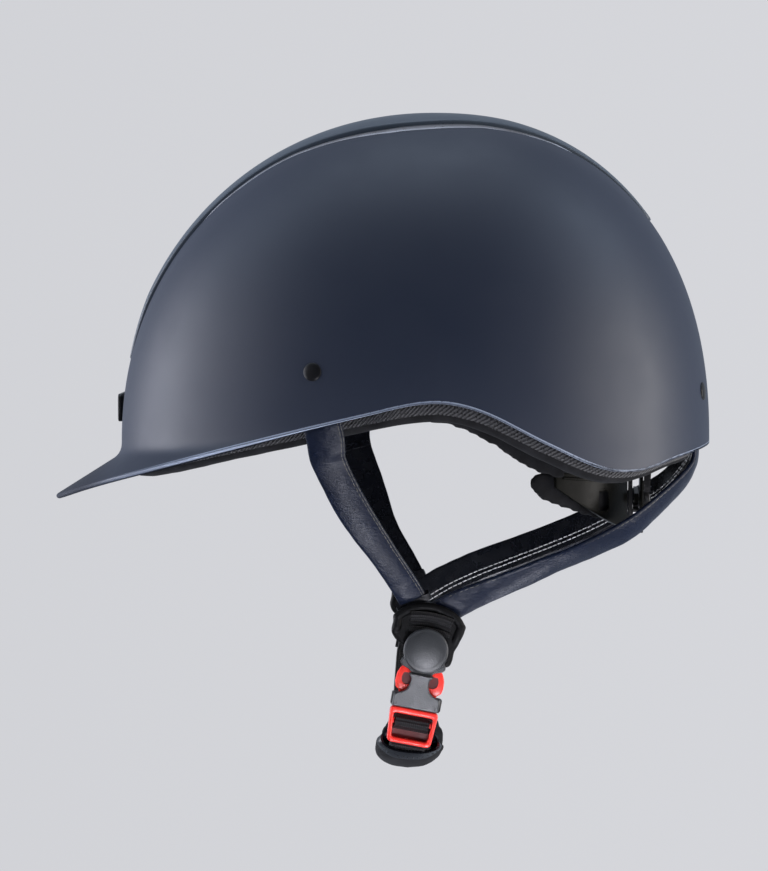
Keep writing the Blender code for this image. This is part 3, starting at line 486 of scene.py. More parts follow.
class Finish:
    """A Principled material that is built up from textures."""

    def __init__(self, name, colour, roughness, metallic=0.0, **constants):
        self.material = bpy.data.materials.new(name)
        self.material.use_nodes = True
        self.tree = self.material.node_tree
        self.shader = self.tree.nodes["Principled BSDF"]
        self.colour = (*colour, 1)
        self.shader.inputs["Base Color"].default_value = self.colour
        self.shader.inputs["Roughness"].default_value = roughness
        self.shader.inputs["Metallic"].default_value = metallic
        for socket, value in constants.items():
            self.shader.inputs[socket.replace("_", " ")].default_value = value
        self.place = self.node("TexCoord").outputs["Object"]
        self.normal = None

    def node(self, kind, inputs=None, **settings):
        return node(self.tree, kind, inputs, **settings)

    def stretch(self, scale, source=None):
        """Texture coordinates with their own scale on each axis."""
        return self.node("Mapping", {"Vector": source or self.place, "Scale": scale}).outputs[0]

    def weave(self, scale):
        return self.stretch(scale, self.node("UVMap", uv_map="weave").outputs[0])

    def cloud(self, scale, detail=3.0, roughness=0.55, source=None):
        inputs = {"Vector": source or self.place, "Scale": scale, "Detail": detail, "Roughness": roughness}
        return self.node("TexNoise", inputs).outputs["Fac"]

    def cells(self, scale, feature="F1", source=None, **inputs):
        sockets = {"Vector": source or self.place, "Scale": scale, **inputs}
        return self.node("TexVoronoi", sockets, feature=feature).outputs["Distance"]

    def wave(self, source, axis, scale, distortion=0.0, profile="SIN"):
        inputs = {"Vector": source, "Scale": scale, "Distortion": distortion, "Detail": 1.0}
        return self.node("TexWave", inputs, bands_direction=axis, wave_profile=profile).outputs["Fac"]

    def ranged(self, value, low, high, start, end):
        """The value, carried from low..high to start..end."""
        inputs = {"Value": value, "From Min": low, "From Max": high, "To Min": start, "To Max": end}
        return self.node("MapRange", inputs).outputs[0]

    def sum(self, first, second, operation="ADD"):
        return self.node("Math", {0: first, 1: second}, operation=operation).outputs[0]

    def mix(self, factor, first, second):
        """A colour between two colours, each (r, g, b) or an output."""
        made = self.node("Mix", {"Factor": factor}, data_type="RGBA")
        for socket, value in ((made.inputs[6], first), (made.inputs[7], second)):
            if isinstance(value, bpy.types.NodeSocket):
                self.tree.links.new(value, socket)
            else:
                socket.default_value = (*value[:3], 1)
        return made.outputs[2]

    def tint(self, factor, other):
        """Mixes the base colour towards another by a factor."""
        current = self.shader.inputs["Base Color"]
        source = current.links[0].from_socket if current.links else self.colour
        self.tree.links.new(self.mix(factor, source, other), current)
        return self

    def rough(self, value, start, end, low=0.3, high=0.7):
        self.tree.links.new(self.ranged(value, low, high, start, end), self.shader.inputs["Roughness"])
        return self

    def bump(self, height, strength, distance):
        """Adds relief; distance is its depth in millimetres."""
        inputs = {"Height": height, "Strength": strength, "Distance": distance * MM}
        if self.normal:
            inputs["Normal"] = self.normal
        self.normal = self.node("Bump", inputs).outputs[0]
        self.tree.links.new(self.normal, self.shader.inputs["Normal"])
        return self


def shell_paint():
    """Matte navy soft-touch paint, with a painted highlight along the rolled edge and painted shade on the peak,
    which is also rougher.
    """
    made = Finish("shell_navy_paint", (0.0120, 0.0185, 0.0385), 0.5, Specular_IOR_Level=0.5)
    made.tint(made.ranged(made.cloud(9, 2), 0.35, 0.65, 0, 0.35), (0.016, 0.023, 0.045))
    # Painted highlight: the rolled lip of the rim is made pale blue-grey.
    edge = made.node("Attribute", attribute_name="painted_edge_highlight").outputs["Fac"]
    made.tint(edge, (0.44, 0.51, 0.65))
    # Painted shade: the top of the peak is darkened; the same mask also makes it rougher.
    peak = made.node("Attribute", attribute_name="peak_painted_shade").outputs["Fac"]
    made.tint(peak, (0.0045, 0.0075, 0.0190))
    uneven = made.ranged(made.cloud(60, 4), 0.3, 0.7, 0.47, 0.53)
    rougher = made.sum(uneven, made.ranged(peak, 0, 1, 0, 0.35))
    made.tree.links.new(rougher, made.shader.inputs["Roughness"])
    made.bump(made.cloud(2600, 2), 0.10, 0.05)
    made.bump(made.cloud(420, 2), 0.05, 0.06)
    return made.material


def crest_paint():
    made = Finish("crest_slate_satin", (0.050, 0.066, 0.090), 0.42)
    made.tint(made.ranged(made.cloud(14, 2), 0.35, 0.65, 0, 0.5), (0.058, 0.074, 0.098))
    made.rough(made.cloud(70, 4), 0.38, 0.46)
    made.bump(made.cloud(2300, 2), 0.10, 0.05)
    return made.material


def plastic(name, colour, roughness, grain=1400, depth=0.10, metallic=0.0, **constants):
    """Moulded plastic with a fine spark-eroded grain and slight unevenness in its gloss."""
    made = Finish(name, colour, roughness, metallic, **constants)
    speck = made.cells(grain)
    made.tint(made.ranged(made.cloud(160, 4), 0.35, 0.7, 0, 0.5), [c * 1.5 + 0.002 for c in colour])
    made.rough(made.cloud(240, 4), roughness * 0.86, roughness * 1.16)
    made.bump(speck, 0.35, depth)
    made.bump(made.cloud(90, 2), 0.12, 0.25)
    return made.material


def brushed_metal(name, colour, roughness):
    made = Finish(name, colour, roughness, 1.0)
    streaks = made.cloud(1.0, 3, source=made.stretch((90, 2400, 2400)))
    made.tint(made.ranged(streaks, 0.3, 0.7, 0, 0.6), [c * 0.72 for c in colour])
    made.rough(streaks, roughness * 0.8, roughness * 1.3)
    made.bump(streaks, 0.25, 0.04)
    return made.material


def bead_foam():
    """Expanded polystyrene: packed beads with dark joints between them."""
    made = Finish("liner_bead_foam", (0.020, 0.020, 0.021), 0.82)
    beads = made.cells(330, "DISTANCE_TO_EDGE")
    made.tint(made.ranged(beads, 0.0, 0.25, 1, 0), (0.006, 0.006, 0.006))
    made.bump(made.ranged(beads, 0.0, 0.35, 0, 1), 0.8, 0.55)
    made.bump(made.cloud(1800, 2), 0.2, 0.1)
    return made.material


def spacer_mesh():
    """Black knitted spacer mesh: rows of small open holes between pale ribs of yarn, with painted shade in the
    holes.
    """
    made = Finish("spacer_mesh_black", (0.013, 0.013, 0.0145), 0.78, Sheen_Weight=0.08, Sheen_Roughness=0.5,
                  Specular_IOR_Level=0.35)
    holes = made.cells(760, Randomness=0.35)
    hole_shade = made.ranged(holes, 0.16, 0.36, 1, 0)
    yarn = made.cells(2600)
    made.tint(made.ranged(made.cloud(70, 3), 0.4, 0.7, 0, 1), (0.030, 0.030, 0.032))
    # Painted shade: the holes are darkened to near black.
    made.tint(hole_shade, (0.0012, 0.0012, 0.0014))
    made.bump(made.ranged(holes, 0.10, 0.55, 0, 1), 0.7, 0.4)
    made.bump(yarn, 0.35, 0.14)
    return made.material


def knitted_mesh():
    """The same mesh where it is pulled round the rim roll: slanted ribs, laid out along the roll, with a painted
    highlight on the ribs and painted shade in the holes.
    """
    made = Finish("spacer_mesh_roll", (0.030, 0.030, 0.033), 0.74, Sheen_Weight=0.15, Sheen_Roughness=0.5,
                  Specular_IOR_Level=0.35)
    flow = made.weave((1, 1, 1))
    slant = made.node("Mapping", {"Vector": flow, "Rotation": (0, 0, 0.9)}).outputs[0]
    ribs = made.wave(slant, "X", 250, 0.8)
    holes = made.cells(620, source=flow, Randomness=0.3)
    # Painted highlight on the ribs, then painted shade in the holes.
    made.tint(made.ranged(ribs, 0.35, 1.0, 0, 0.8), (0.085, 0.085, 0.092))
    made.tint(made.ranged(holes, 0.12, 0.34, 1, 0), (0.0012, 0.0012, 0.0014))
    made.bump(made.sum(made.ranged(holes, 0.1, 0.5, 0, 1), ribs), 0.8, 0.55)
    made.bump(made.cells(2600), 0.3, 0.12)
    return made.material


def smooth_cloth():
    """Fine black lycra-like cloth with soft creases."""
    made = Finish("binding_cloth_black", (0.0075, 0.0075, 0.0085), 0.82, Sheen_Weight=0.02, Sheen_Roughness=0.5,
                  Specular_IOR_Level=0.15)
    threads = made.wave(made.weave((1, 1, 1)), "DIAGONAL", 520, 0.6)
    made.tint(made.ranged(made.cloud(120, 3), 0.4, 0.7, 0, 1), (0.015, 0.015, 0.017))
    made.bump(threads, 0.35, 0.10)
    made.bump(made.cloud(190, 3), 0.5, 0.6)
    return made.material


def leather(name, colour, light, roughness=(0.22, 0.38)):
    """Grained leather: pebbles with fine creases, rubbed paler on the high spots."""
    made = Finish(name, colour, 0.45, Specular_IOR_Level=0.22)
    pebbles = made.cells(900, "DISTANCE_TO_EDGE")
    creases = made.cloud(300, 5, 0.65, made.stretch((1.0, 1.0, 2.6)))
    broad = made.cloud(55, 3)
    made.tint(made.ranged(broad, 0.35, 0.7, 0, 0.75), light)
    made.tint(made.ranged(pebbles, 0.0, 0.10, 0.6, 0), [c * 0.4 for c in colour])
    made.rough(made.sum(creases, broad, "MULTIPLY"), roughness[1], roughness[0], 0.15, 0.36)
    made.bump(made.ranged(pebbles, 0.0, 0.22, 0, 1), 0.2, 0.06)
    made.bump(creases, 0.7, 0.28)
    made.bump(broad, 0.4, 0.9)
    return made.material


def gloss_lining():
    """Patent black lining on the inner face of the straps, slightly rippled."""
    made = Finish("strap_lining_gloss", (0.0050, 0.0058, 0.0085), 0.24)
    made.rough(made.cloud(180, 3), 0.20, 0.34)
    made.bump(made.cloud(1.0, 2, source=made.stretch((90, 90, 90))), 0.22, 0.5)
    made.bump(made.cloud(1500, 2), 0.12, 0.05)
    return made.material


def ribbed_webbing(name, ribs_run="Y", weft_runs="X"):
    """Woven nylon webbing: ribs one way, crossed by the finer weft."""
    made = Finish(name, (0.005, 0.005, 0.006), 0.6, Sheen_Weight=0.06, Sheen_Roughness=0.4,
                  Specular_IOR_Level=0.25)
    flow = made.weave((1, 1, 1))
    ribs = made.wave(flow, ribs_run, 210)
    weft = made.wave(flow, weft_runs, 330, 0.3)
    made.tint(made.ranged(made.sum(ribs, weft, "MULTIPLY"), 0.2, 0.9, 0, 0.8), (0.026, 0.026, 0.029))
    made.bump(ribs, 0.8, 0.35)
    made.bump(weft, 0.6, 0.16)
    return made.material


def thread(name, colour):
    made = Finish(name, colour, 0.6)
    twist = made.wave(made.stretch((1, 1, 1)), "DIAGONAL", 900)
    made.tint(made.ranged(twist, 0.3, 1, 0.5, 0), [c * 0.5 for c in colour])
    made.bump(twist, 0.5, 0.08)
    return made.material


MESH, KNIT, CLOTH = spacer_mesh(), knitted_mesh(), smooth_cloth()
SHELL, CREST_SLATE, FOAM = shell_paint(), crest_paint(), bead_foam()
LEATHER = leather("strap_leather_navy", (0.0060, 0.0095, 0.0230), (0.0110, 0.0160, 0.0350), (0.24, 0.36))
DARK_LEATHER = leather("keeper_leather_black", (0.006, 0.006, 0.008), (0.016, 0.017, 0.020))
LINING, WEBBING = gloss_lining(), ribbed_webbing("webbing_black")
CROSS_WEBBING = ribbed_webbing("webbing_black_across", "X", "Y")
PALE_THREAD = thread("thread_pale", (0.66, 0.66, 0.68))
EDGE_THREAD = thread("thread_edge", (0.17, 0.165, 0.14))
DARK_THREAD = thread("thread_black", (0.012, 0.012, 0.014))
TRIM_METAL = plastic("trim_dark_chrome", (0.21, 0.205, 0.22), 0.30, grain=2600, depth=0.02, metallic=0.85)
GUARD_BLACK = plastic("guard_matte_black", (0.0022, 0.0022, 0.0026), 0.5, grain=900, depth=0.12,
                      Specular_IOR_Level=0.14)
BLACK = plastic("moulded_black", (0.010, 0.010, 0.011), 0.42)
SATIN_BLACK = plastic("satin_black", (0.005, 0.005, 0.006), 0.34, depth=0.04, Specular_IOR_Level=0.3)
OLIVE_GLOSS = plastic("gloss_olive_black", (0.004, 0.004, 0.0032), 0.30, grain=900, depth=0.03,
                      Specular_IOR_Level=0.08)
GREY = plastic("acetal_grey", (0.026, 0.028, 0.031), 0.34, grain=1700)
RED = plastic("acetal_red", (0.90, 0.036, 0.026), 0.24, grain=1900, depth=0.04, Subsurface_Weight=0.05)
# A darker copy of the red: painted shade for the prongs' hollows and the inside of the tongue's window.
SHADED_RED = plastic("acetal_red_painted_shade", (0.10, 0.002, 0.002), 0.5, grain=1900, depth=0.05)
STEEL = brushed_metal("zinc_steel", (0.50, 0.50, 0.52), 0.34)
DIAL_METAL = plastic("dial_silver", (0.55, 0.56, 0.58), 0.28, metallic=0.7)


# ---- shell ----

SHELL_COLUMNS, WALL_ROWS, PEAK_ROWS, LIP_RADIUS, MOUTH_ROUNDING = 256, 40, 7, 1.2, 0.6
CHANNEL_END, EXHAUST_HALF_WIDTH = 137.0, 5.5
CENTRE = np.array((0, CENTRE_Y, 0))


CHANNEL_MARGIN = 0.4


def channel_side(angle):
    """Half the width of the opening round the crest: the crest, the slot beside it and the bright trim."""
    return crest_half_width(angle) + smooth_value(SLOT, angle) + smooth_value(TRIM, angle) + CHANNEL_MARGIN


def channel_loop(count):
    """The left half of the shell's opening round the crest, from its front to its rear."""
    front = CREST_FRONT - CHANNEL_MARGIN
    wide = channel_side(front)
    corners = [(front, 0), (front, 8), (front, wide - 4), (front + 0.5, wide - 1.2)]
    angles = np.linspace(front + 2.2, CREST_REAR - 0.6, 90)
    corners += list(zip(angles, channel_side(angles)))
    half, end = EXHAUST_HALF_WIDTH, CHANNEL_END
    corners += [(CREST_REAR + 0.4, half + 0.5), (CREST_REAR + 1.2, half), (end - 0.6, half)]
    corners += [(end, half - 1), (end, 0)]
    angle, side = np.array(corners).T
    return evenly(crown_point(angle, side, 0.0), count)


def slerp(a, b, share):
    """Directions turning evenly from a to b."""
    turn = np.arccos(np.clip((a * b).sum(axis=-1), -1, 1))[..., None]
    return (a * np.sin((1 - share) * turn) + b * np.sin(share * turn)) / np.sin(turn)


def shell_surface():
    """The shell's outer surface as rows of points from the crest's opening to the rim."""
    half = SHELL_COLUMNS // 2
    angles = np.arange(half + 1) * 180.0 / half
    top = channel_loop(half + 1)
    reach = peak_reach(angles)
    rim_y = (plan_point(angles, 0, 1, 0) + plan_normal(angles) * reach[:, None])[:, 1]
    edge_z = rim_height(rim_y)
    corner_z = edge_z + PEAK_SLOPE * reach + 2.0
    foot, corner = wall_point(angles, corner_z + FILLET), wall_point(angles, corner_z)
    edge = wall_point(angles, edge_z) + plan_normal(angles) * reach[:, None]
    above, below = unit(top - CENTRE), unit(foot - CENTRE)
    height = np.linalg.norm(foot - top, axis=1)
    shares = [0 * height, 0.18 / height, MOUTH_ROUNDING / height]
    shares += [0 * height + s for s in np.linspace(0, 1, WALL_ROWS + 1)[1:]]
    rows = [onto_dome(CENTRE + 0 * top, slerp(above, below, s[:, None]), 0.0) for s in shares]
    rows[-1] = foot
    run = np.linalg.norm(edge - corner, axis=1)[:, None]
    onto_peak = corner + (edge - corner) * np.minimum(0.5, FILLET / run)
    for t in (0.2, 0.4, 0.6, 0.8):
        rows.append(foot * (1 - t) ** 2 + corner * 2 * t * (1 - t) + onto_peak * t * t)
    for t in (*np.linspace(0, 0.88, PEAK_ROWS), 0.955, 1.0):
        rows.append(onto_peak + (edge - onto_peak) * t)
    left = np.array(rows)
    right = left[:, half - 1:0:-1] * (-1, 1, 1)
    return np.concatenate([left, right], axis=1)


def surface_normals(grid):
    """Outward directions of a grid of points that closes round in its columns."""
    along = np.roll(grid, -1, axis=1) - np.roll(grid, 1, axis=1)
    normal = unit(np.cross(along, np.gradient(grid, axis=0)))
    return normal * np.sign((normal * (grid - CENTRE)).sum(axis=-1, keepdims=True).mean())


def outer_shell():
    """The shell with its moulded peak, a rolled lip at the rim and rounded edges round the crest's opening."""
    surface = shell_surface()
    normal = surface_normals(surface)
    normal[:3] = normal[3]
    outer = surface.copy()
    for row, across in enumerate((0.0, 0.18)):
        sink = MOUTH_ROUNDING - math.sqrt(MOUTH_ROUNDING**2 - (MOUTH_ROUNDING - across) ** 2)
        outer[row] -= normal[row] * sink
    down = unit(surface[-1] - surface[-2])
    outer[-1] -= down * LIP_RADIUS
    inner = outer - normal * SHELL_THICKNESS
    inner[0] = surface[0] - normal[0] * SHELL_THICKNESS
    middle = outer[-1] - normal[-1] * LIP_RADIUS
    turns = np.radians((30, 60, 90, 120, 150))
    lip = [middle + LIP_RADIUS * (normal[-1] * math.cos(t) + down * math.sin(t)) for t in turns]
    rings = np.concatenate([outer, np.array(lip), inner[::-1]]).swapaxes(0, 1)
    shell = loft("shell_body", rings, SHELL, "helmet", closed=True, smooth=50)
    # A painted highlight along the rolled lip, strongest towards the front.
    edge_highlight = np.zeros(rings.shape[:2])
    first = len(outer)
    edge_highlight[:, first - 1:first + 3] = (0.8, 1.0, 1.0, 0.8)
    edge_highlight *= 0.12 + 0.88 * fade(rings[:, first - 1, 1:2], -150, -85)
    # Painted shade on the top of the peak, for the paint to darken and roughen.
    peak = 0.85 * fade(-rings[..., 1], 132, 152) * fade(-rings[..., 2], -22, -2)
    paint(shell, "peak_painted_shade", peak)
    paint(shell, "painted_edge_highlight", edge_highlight)
    return stands_for(shell, "shell_navy", "outer_shell")


# ---- crest, trims, badge and plugs ----

CREST_EDGE, CREST_CORNER, CREST_LIFT = 0.8, 3.5, 0.3


def crest_angles(count):
    """Angles along the crest, close together at its rounded ends."""
    mm_per_degree = 2.35
    ends = np.array((0, 0.12, 0.4, 0.9, 1.6, 2.5, 3.5)) / mm_per_degree
    return np.concatenate([CREST_FRONT + ends, np.linspace(CREST_FRONT + 3, CREST_REAR - 3, count),
                           CREST_REAR - ends[::-1]]), mm_per_degree


def crest_panel():
    angles, mm_per_degree = crest_angles(110)
    sections = []
    for angle in angles:
        from_end = min(angle - CREST_FRONT, CREST_REAR - angle) * mm_per_degree
        half = float(crest_half_width(angle))
        if from_end < CREST_CORNER:
            half += math.sqrt(CREST_CORNER**2 - (CREST_CORNER - from_end) ** 2) - CREST_CORNER
        rise = CREST_RISE * min(1, (angle - CREST_FRONT) / 14 + 0.15, (CREST_REAR - angle) / 42 + 0.25)
        rounding = CREST_EDGE * float(fade(from_end, -1.0, 1.2))
        shares = np.concatenate([-np.cos(np.linspace(0, 0.42, 7)), np.linspace(-0.88, 0.88, 17),
                                 np.cos(np.linspace(0.42, 0, 7))])
        near_edge = np.clip((np.abs(shares) * half - (half - CREST_EDGE)) / CREST_EDGE, 0, 1)
        height = CREST_LIFT + rise * (1 - 0.35 * np.abs(shares) ** 4)
        height -= CREST_EDGE * (1 - np.sqrt(1 - near_edge**2)) + (CREST_EDGE - rounding) * 0.6
        top = crown_point(angle + 0 * shares, half * shares, -np.maximum(height, -1.0))
        under = crown_point(angle + 0 * shares[::3], half * shares[::3], 1.3 + 0 * shares[::3])
        sections.append(np.vstack([top, under[::-1]]))
    panel = loft("crest_cover", sections, CREST_SLATE, "helmet", smooth=50)
    return stands_for(panel, "crest_slate", "crest_panel")


def crest_trims():
    """A bright strip on each edge of the shell's opening: sunk at both ends and wide over the crown."""
    angles = np.linspace(CREST_FRONT + 0.3, CREST_REAR - 0.2, 130)
    near = crest_half_width(angles) + smooth_value(SLOT, angles)
    far = near + smooth_value(TRIM, angles)
    top = -0.15 + 0.75 * (1 - fade(angles, 40, 49)) + 0.9 * fade(angles, 112, 120)
    foot = 2.5 + 0 * top
    shape = [(0, foot), (0, top + 0.35), (0.12, top + 0.08), (0.5, top - 0.12), (0.88, top + 0.08),
             (1, top + 0.35), (1, foot)]
    for side, sign in SIDES.items():
        rings = [crown_point(angles, sign * (near + (far - near) * share), depth) for share, depth in shape]
        strip = loft(f"bright_trim_{side}", np.array(rings).swapaxes(0, 1), TRIM_METAL, "helmet", smooth=35)
        stands_for(strip, "trim_gloss", f"crest_trim_{side}")


def front_badge():
    """A blank plate low on the forehead, with a raised border."""
    where = (np.array((0, -138.2, 15.4)), np.array((1, 0, 0)), np.array((0, 0, 1)), np.array((0, -1, 0)))
    outline = oblong(12, -6.5, 6.5, 2.6, 8)
    border = slab("badge_border", outline, where, -0.6, 1.25, 0.4, BLACK, "helmet", hole=inset(outline, 1.5))
    field = slab("badge_plate", inset(outline, 0.8), where, -0.8, 0.7, 0.2, SATIN_BLACK, "helmet")
    stands_for(field, "black_plastic", "front_badge")


def plugs():
    """Domed caps of the harness rivets at the temples and the nape."""
    for kind, (angle, z) in (("temple", TEMPLE_PLUG), ("nape", NAPE_PLUG)):
        for side, sign in SIDES.items():
            place = wall_point(angle * sign, z)
            up = wall_point(angle * sign, z + 1) - wall_point(angle * sign, z - 1)
            along = wall_point(angle * sign + 1, z) - wall_point(angle * sign - 1, z)
            out = unit(np.cross(along, up))
            profile = [(2.0, -2.4), (2.0, -0.2), (PLUG_RADIUS - 0.5, -0.2), (PLUG_RADIUS, 0.0)]
            profile += [(PLUG_RADIUS * math.cos(t), 0.2 + 0.9 * math.sin(t)) for t in np.linspace(0.15, 1.52, 9)]
            cap = turned(f"{kind}_cap_{side}", profile, place, out, SATIN_BLACK, "helmet", sides=48, smooth=50)
            stands_for(cap, "black_plastic", f"{kind}_plug_{side}")


# ---- liner and rim roll ----


def eps_liner():
    """Foam liner with three shallow air channels along its inner face."""
    angles = np.arange(144) * 2.5
    foot = rim_at(angles) + LINER_LIFT
    rows = np.linspace(0.02, 1, 34)
    outer, inner = [], []
    for share in rows:
        for grid, depth in ((outer, LINER_DEPTH), (inner, LINER_DEPTH + LINER_THICKNESS)):
            base = wall_point(angles, foot, depth)
            toward = slerp(np.array((0, 0, 1.0)) + 0 * base, unit(base - CENTRE), share)
            point = onto_dome(CENTRE + 0 * base, toward, depth + 0.0 * foot)
            if grid is inner:
                sunk = sum(np.exp(-(((point[:, 0] - x) / 5.0) ** 4)) for x in (-34, 0, 34))
                sunk = 4.0 * np.clip(sunk, 0, 1) * fade(point[:, 2], 40, 62)
                point = onto_dome(CENTRE + 0 * base, toward, depth - sunk)
            grid.append(point)
    liner = skin("liner_foam_body", outer, inner, FOAM, "helmet", closed=True)
    return stands_for(liner, "liner_foam", "eps_liner")


def strap_pressure(angle):
    """How much the roll is pushed in where a strap passes it, from 0 to 1."""
    angle = abs((angle + 180) % 360 - 180)
    total = sum(1 - fade(abs(angle - centre), flat, flat + soft)
                for centre, flat, soft in ((74.8, 6.5, 5.0), (169.0, 6.0, 4.0)))
    return np.minimum(total, 1)


def rim_roll():
    """The fabric roll round the rim: mesh above, and a creased binding underneath."""
    angles = np.arange(0, 360, 1.25)
    rim = rim_at(angles)
    drop = smooth_value(ROLL_DROP, wall_point(angles, 0, ROLL_DEPTH)[:, 1])
    half_height = (LINER_LIFT - ROLL_CLEARANCE + drop) / 2
    middle = rim - drop + half_height
    pressed = ROLL_PRESSED * strap_pressure(angles)
    turns = np.linspace(0, 2 * math.pi, 32, endpoint=False)
    sections = []
    for turn in turns:
        crease = 1 + 0.035 * ripple(stack(angles * 1.7, 9 * math.cos(turn), 9 * math.sin(turn)), 6.0, 4)
        seam = 0.5 * math.exp(-(((turn - 4.3) / 0.09) ** 2))
        deep = (ROLL_HALF_WIDTH - 0.25 * pressed) * crease - seam
        depth = ROLL_DEPTH + pressed - deep * math.copysign(abs(math.cos(turn)) ** 0.85, math.cos(turn))
        lift = half_height * crease * math.copysign(abs(math.sin(turn)) ** 0.9, math.sin(turn))
        sections.append(wall_point(angles, middle + lift, depth))
    binding = [4.3 <= turn <= 5.6 for turn in turns]
    roll = loft("rim_roll_cover", np.array(sections).swapaxes(0, 1), [KNIT, CLOTH], "helmet", closed=True,
                smooth=80, slot_of=lambda i, k: int(binding[k]))
    return stands_for(roll, "mesh_fabric", "rim_roll")


outer_shell()
crest_panel()
crest_trims()
front_badge()
plugs()
eps_liner()
rim_roll()


# ---- soft pads ----


def inflate(obj, voxel, cap, pressure=4.0):
    """Swells a closed form as stuffed cloth does; no point moves further than cap millimetres."""
    remesh = obj.modifiers.new("remesh", "REMESH")
    remesh.mode, remesh.voxel_size, remesh.use_smooth_shade = "VOXEL", voxel * MM, True
    materials = list(obj.data.materials)
    settle(obj)
    scene = bpy.context.scene
    count = len(obj.data.vertices)
    before, after = np.empty(count * 3), np.empty(count * 3)
    obj.data.vertices.foreach_get("co", before)
    cloth = obj.modifiers.new("cloth", "CLOTH")
    cloth.settings.use_pressure = True
    cloth.settings.uniform_pressure_force = pressure
    cloth.settings.quality = 4
    cloth.settings.mass = 0.2
    cloth.settings.effector_weights.gravity = 0
    cloth.point_cache.frame_start, cloth.point_cache.frame_end = 1, 20
    for frame_number in range(1, 21):
        scene.frame_set(frame_number)
    graph = bpy.context.evaluated_depsgraph_get()
    swollen = obj.evaluated_get(graph).data
    swollen.vertices.foreach_get("co", after)
    obj.modifiers.remove(cloth)
    scene.frame_set(1)
    move = (after - before).reshape(-1, 3)
    move = np.nan_to_num(move)
    length = np.linalg.norm(move, axis=1, keepdims=True)
    move *= np.tanh(length / (cap * MM)) * cap * MM / np.maximum(length, 1e-9)
    obj.data.vertices.foreach_set("co", before + move.ravel())
    smooth = obj.modifiers.new("soften", "SMOOTH")
    smooth.factor, smooth.iterations = 0.5, 3
    fine = obj.modifiers.new("fine", "SUBSURF")
    fine.levels = fine.render_levels = 1
    settle(obj)
    obj.data.materials.clear()
    for material in materials:
        obj.data.materials.append(material)
    obj.data.shade_smooth()
    return obj


def reshape(obj, move):
    """Moves an object's points; move takes points and normals (in mm) and gives displacements in mm."""
    count = len(obj.data.vertices)
    points, normals = np.empty(count * 3), np.empty(count * 3)
    obj.data.vertices.foreach_get("co", points)
    obj.data.vertices.foreach_get("normal", normals)
    points, normals = points.reshape(-1, 3) / MM, normals.reshape(-1, 3)
    obj.data.vertices.foreach_set("co", ((points + move(points, normals)) * MM).ravel())
    obj.data.update()
    return obj


def crumple(obj, amount, scale, seed=0.0):
    """Shallow creases over a surface."""
    return reshape(obj, lambda p, n: n * (amount * ripple(p, scale, seed))[:, None])


def quilt(obj, depth_of):
    """Presses seams into a pad; depth_of gives the depth in mm at each point."""
    return reshape(obj, lambda p, n: -n * depth_of(p)[:, None])


def line_seam(distance, width=1.1):
    return np.exp(-((distance / width) ** 2))


def plan_angle(points):
    """The plan angle, in degrees, of points on the dome's inside."""
    power = PLAN_POWER / 2
    reach = np.where(points[:, 1] < CENTRE_Y, FRONT_REACH, REAR_REACH)
    ux, uy = points[:, 0] / HALF_WIDTH, (points[:, 1] - CENTRE_Y) / reach
    s, c = np.copysign(np.abs(ux) ** power, ux), -np.copysign(np.abs(uy) ** power, uy)
    return np.degrees(np.arctan2(s, c))


def wall_pad(name, angles, low, high, replaced, seams, material):
    """A pad on the liner's inner face, slightly smaller than its solid before it swells."""
    at = np.linspace(angles[0], angles[1], 60)
    shares = np.linspace(0, 1, 12)
    grids = []
    for depth in (PAD_DEPTH + 0.4, PAD_DEPTH + WALL_PAD_THICKNESS - 1.0):
        rows = [wall_point(at, low(at) + 1.5 + (high(at) - low(at) - 3) * share, depth) for share in shares]
        grids.append(rows)
    pad = skin(name, grids[0], grids[1], material, "helmet")
    inflate(pad, 2.2, 1.3)
    quilt(pad, seams)
    stands_for(pad, "mesh_fabric", replaced)
    return pad


WALL_PAD_THICKNESS = 4.3
# Height of the side pads' lower edge against y.
SIDE_FOOT = [(-60, 4), (-18, 15.8), (0, 17), (10.7, 12.2), (19, 11.3), (35, 5), (44, -0.5),
             (54, -6.5), (61, -10.4), (71, -12), (85, -12)]


def side_foot(angle):
    return smooth_value(SIDE_FOOT, wall_point(angle, 0 * angle, PAD_DEPTH)[..., 1])


def head_pads():
    def brow_seams(p):
        bars = np.abs((plan_angle(p) + 8) % 16 - 8) * 2.3
        along = np.abs(p[:, 2] - (rim_at(plan_angle(p)) + 14))
        return 1.1 * line_seam(bars) * fade(p[:, 2], -4, 4) + 0.9 * line_seam(along)

    def side_seams(p):
        slanted = (plan_angle(p) * 1.75 * np.sign(p[:, 0]) + 0.55 * p[:, 2]) % 22 - 11
        above = p[:, 2] - side_foot(plan_angle(p))
        return 1.1 * line_seam(slanted) * fade(above, 9, 15) + 0.4 * line_seam(above - 9)

    wall_pad("brow_cushion", (-47, 47), lambda a: rim_at(a) - 1, lambda a: 32 + 0 * a, "brow_pad", brow_seams,
             MESH)
    for side, sign in SIDES.items():
        wall_pad(f"side_cushion_{side}", (53 * sign, 123 * sign), lambda a: side_foot(a) - 1.0,
                 lambda a: rim_at(a) + 30, f"side_pad_{side}", side_seams, CLOTH)
    angles, across = np.linspace(63, 117, 36), np.linspace(-40.5, 40.5, 36)
    grids = [[crown_point(angle + 0 * across, across, depth) for angle in angles]
             for depth in (PAD_DEPTH + 0.5, PAD_DEPTH + 4.4)]
    crown = skin("crown_cushion", grids[0], grids[1], MESH, "helmet")
    inflate(crown, 2.4, 1.6)

    def lattice(p):
        first, second = (p[:, 0] + p[:, 1] - 8) % 26 - 13, (p[:, 0] - p[:, 1] + 8) % 26 - 13
        return 1.3 * np.maximum(line_seam(first, 1.4), line_seam(second, 1.4))

    quilt(crown, lattice)
    stands_for(crown, "mesh_fabric", "crown_pad")


# ---- harness straps ----


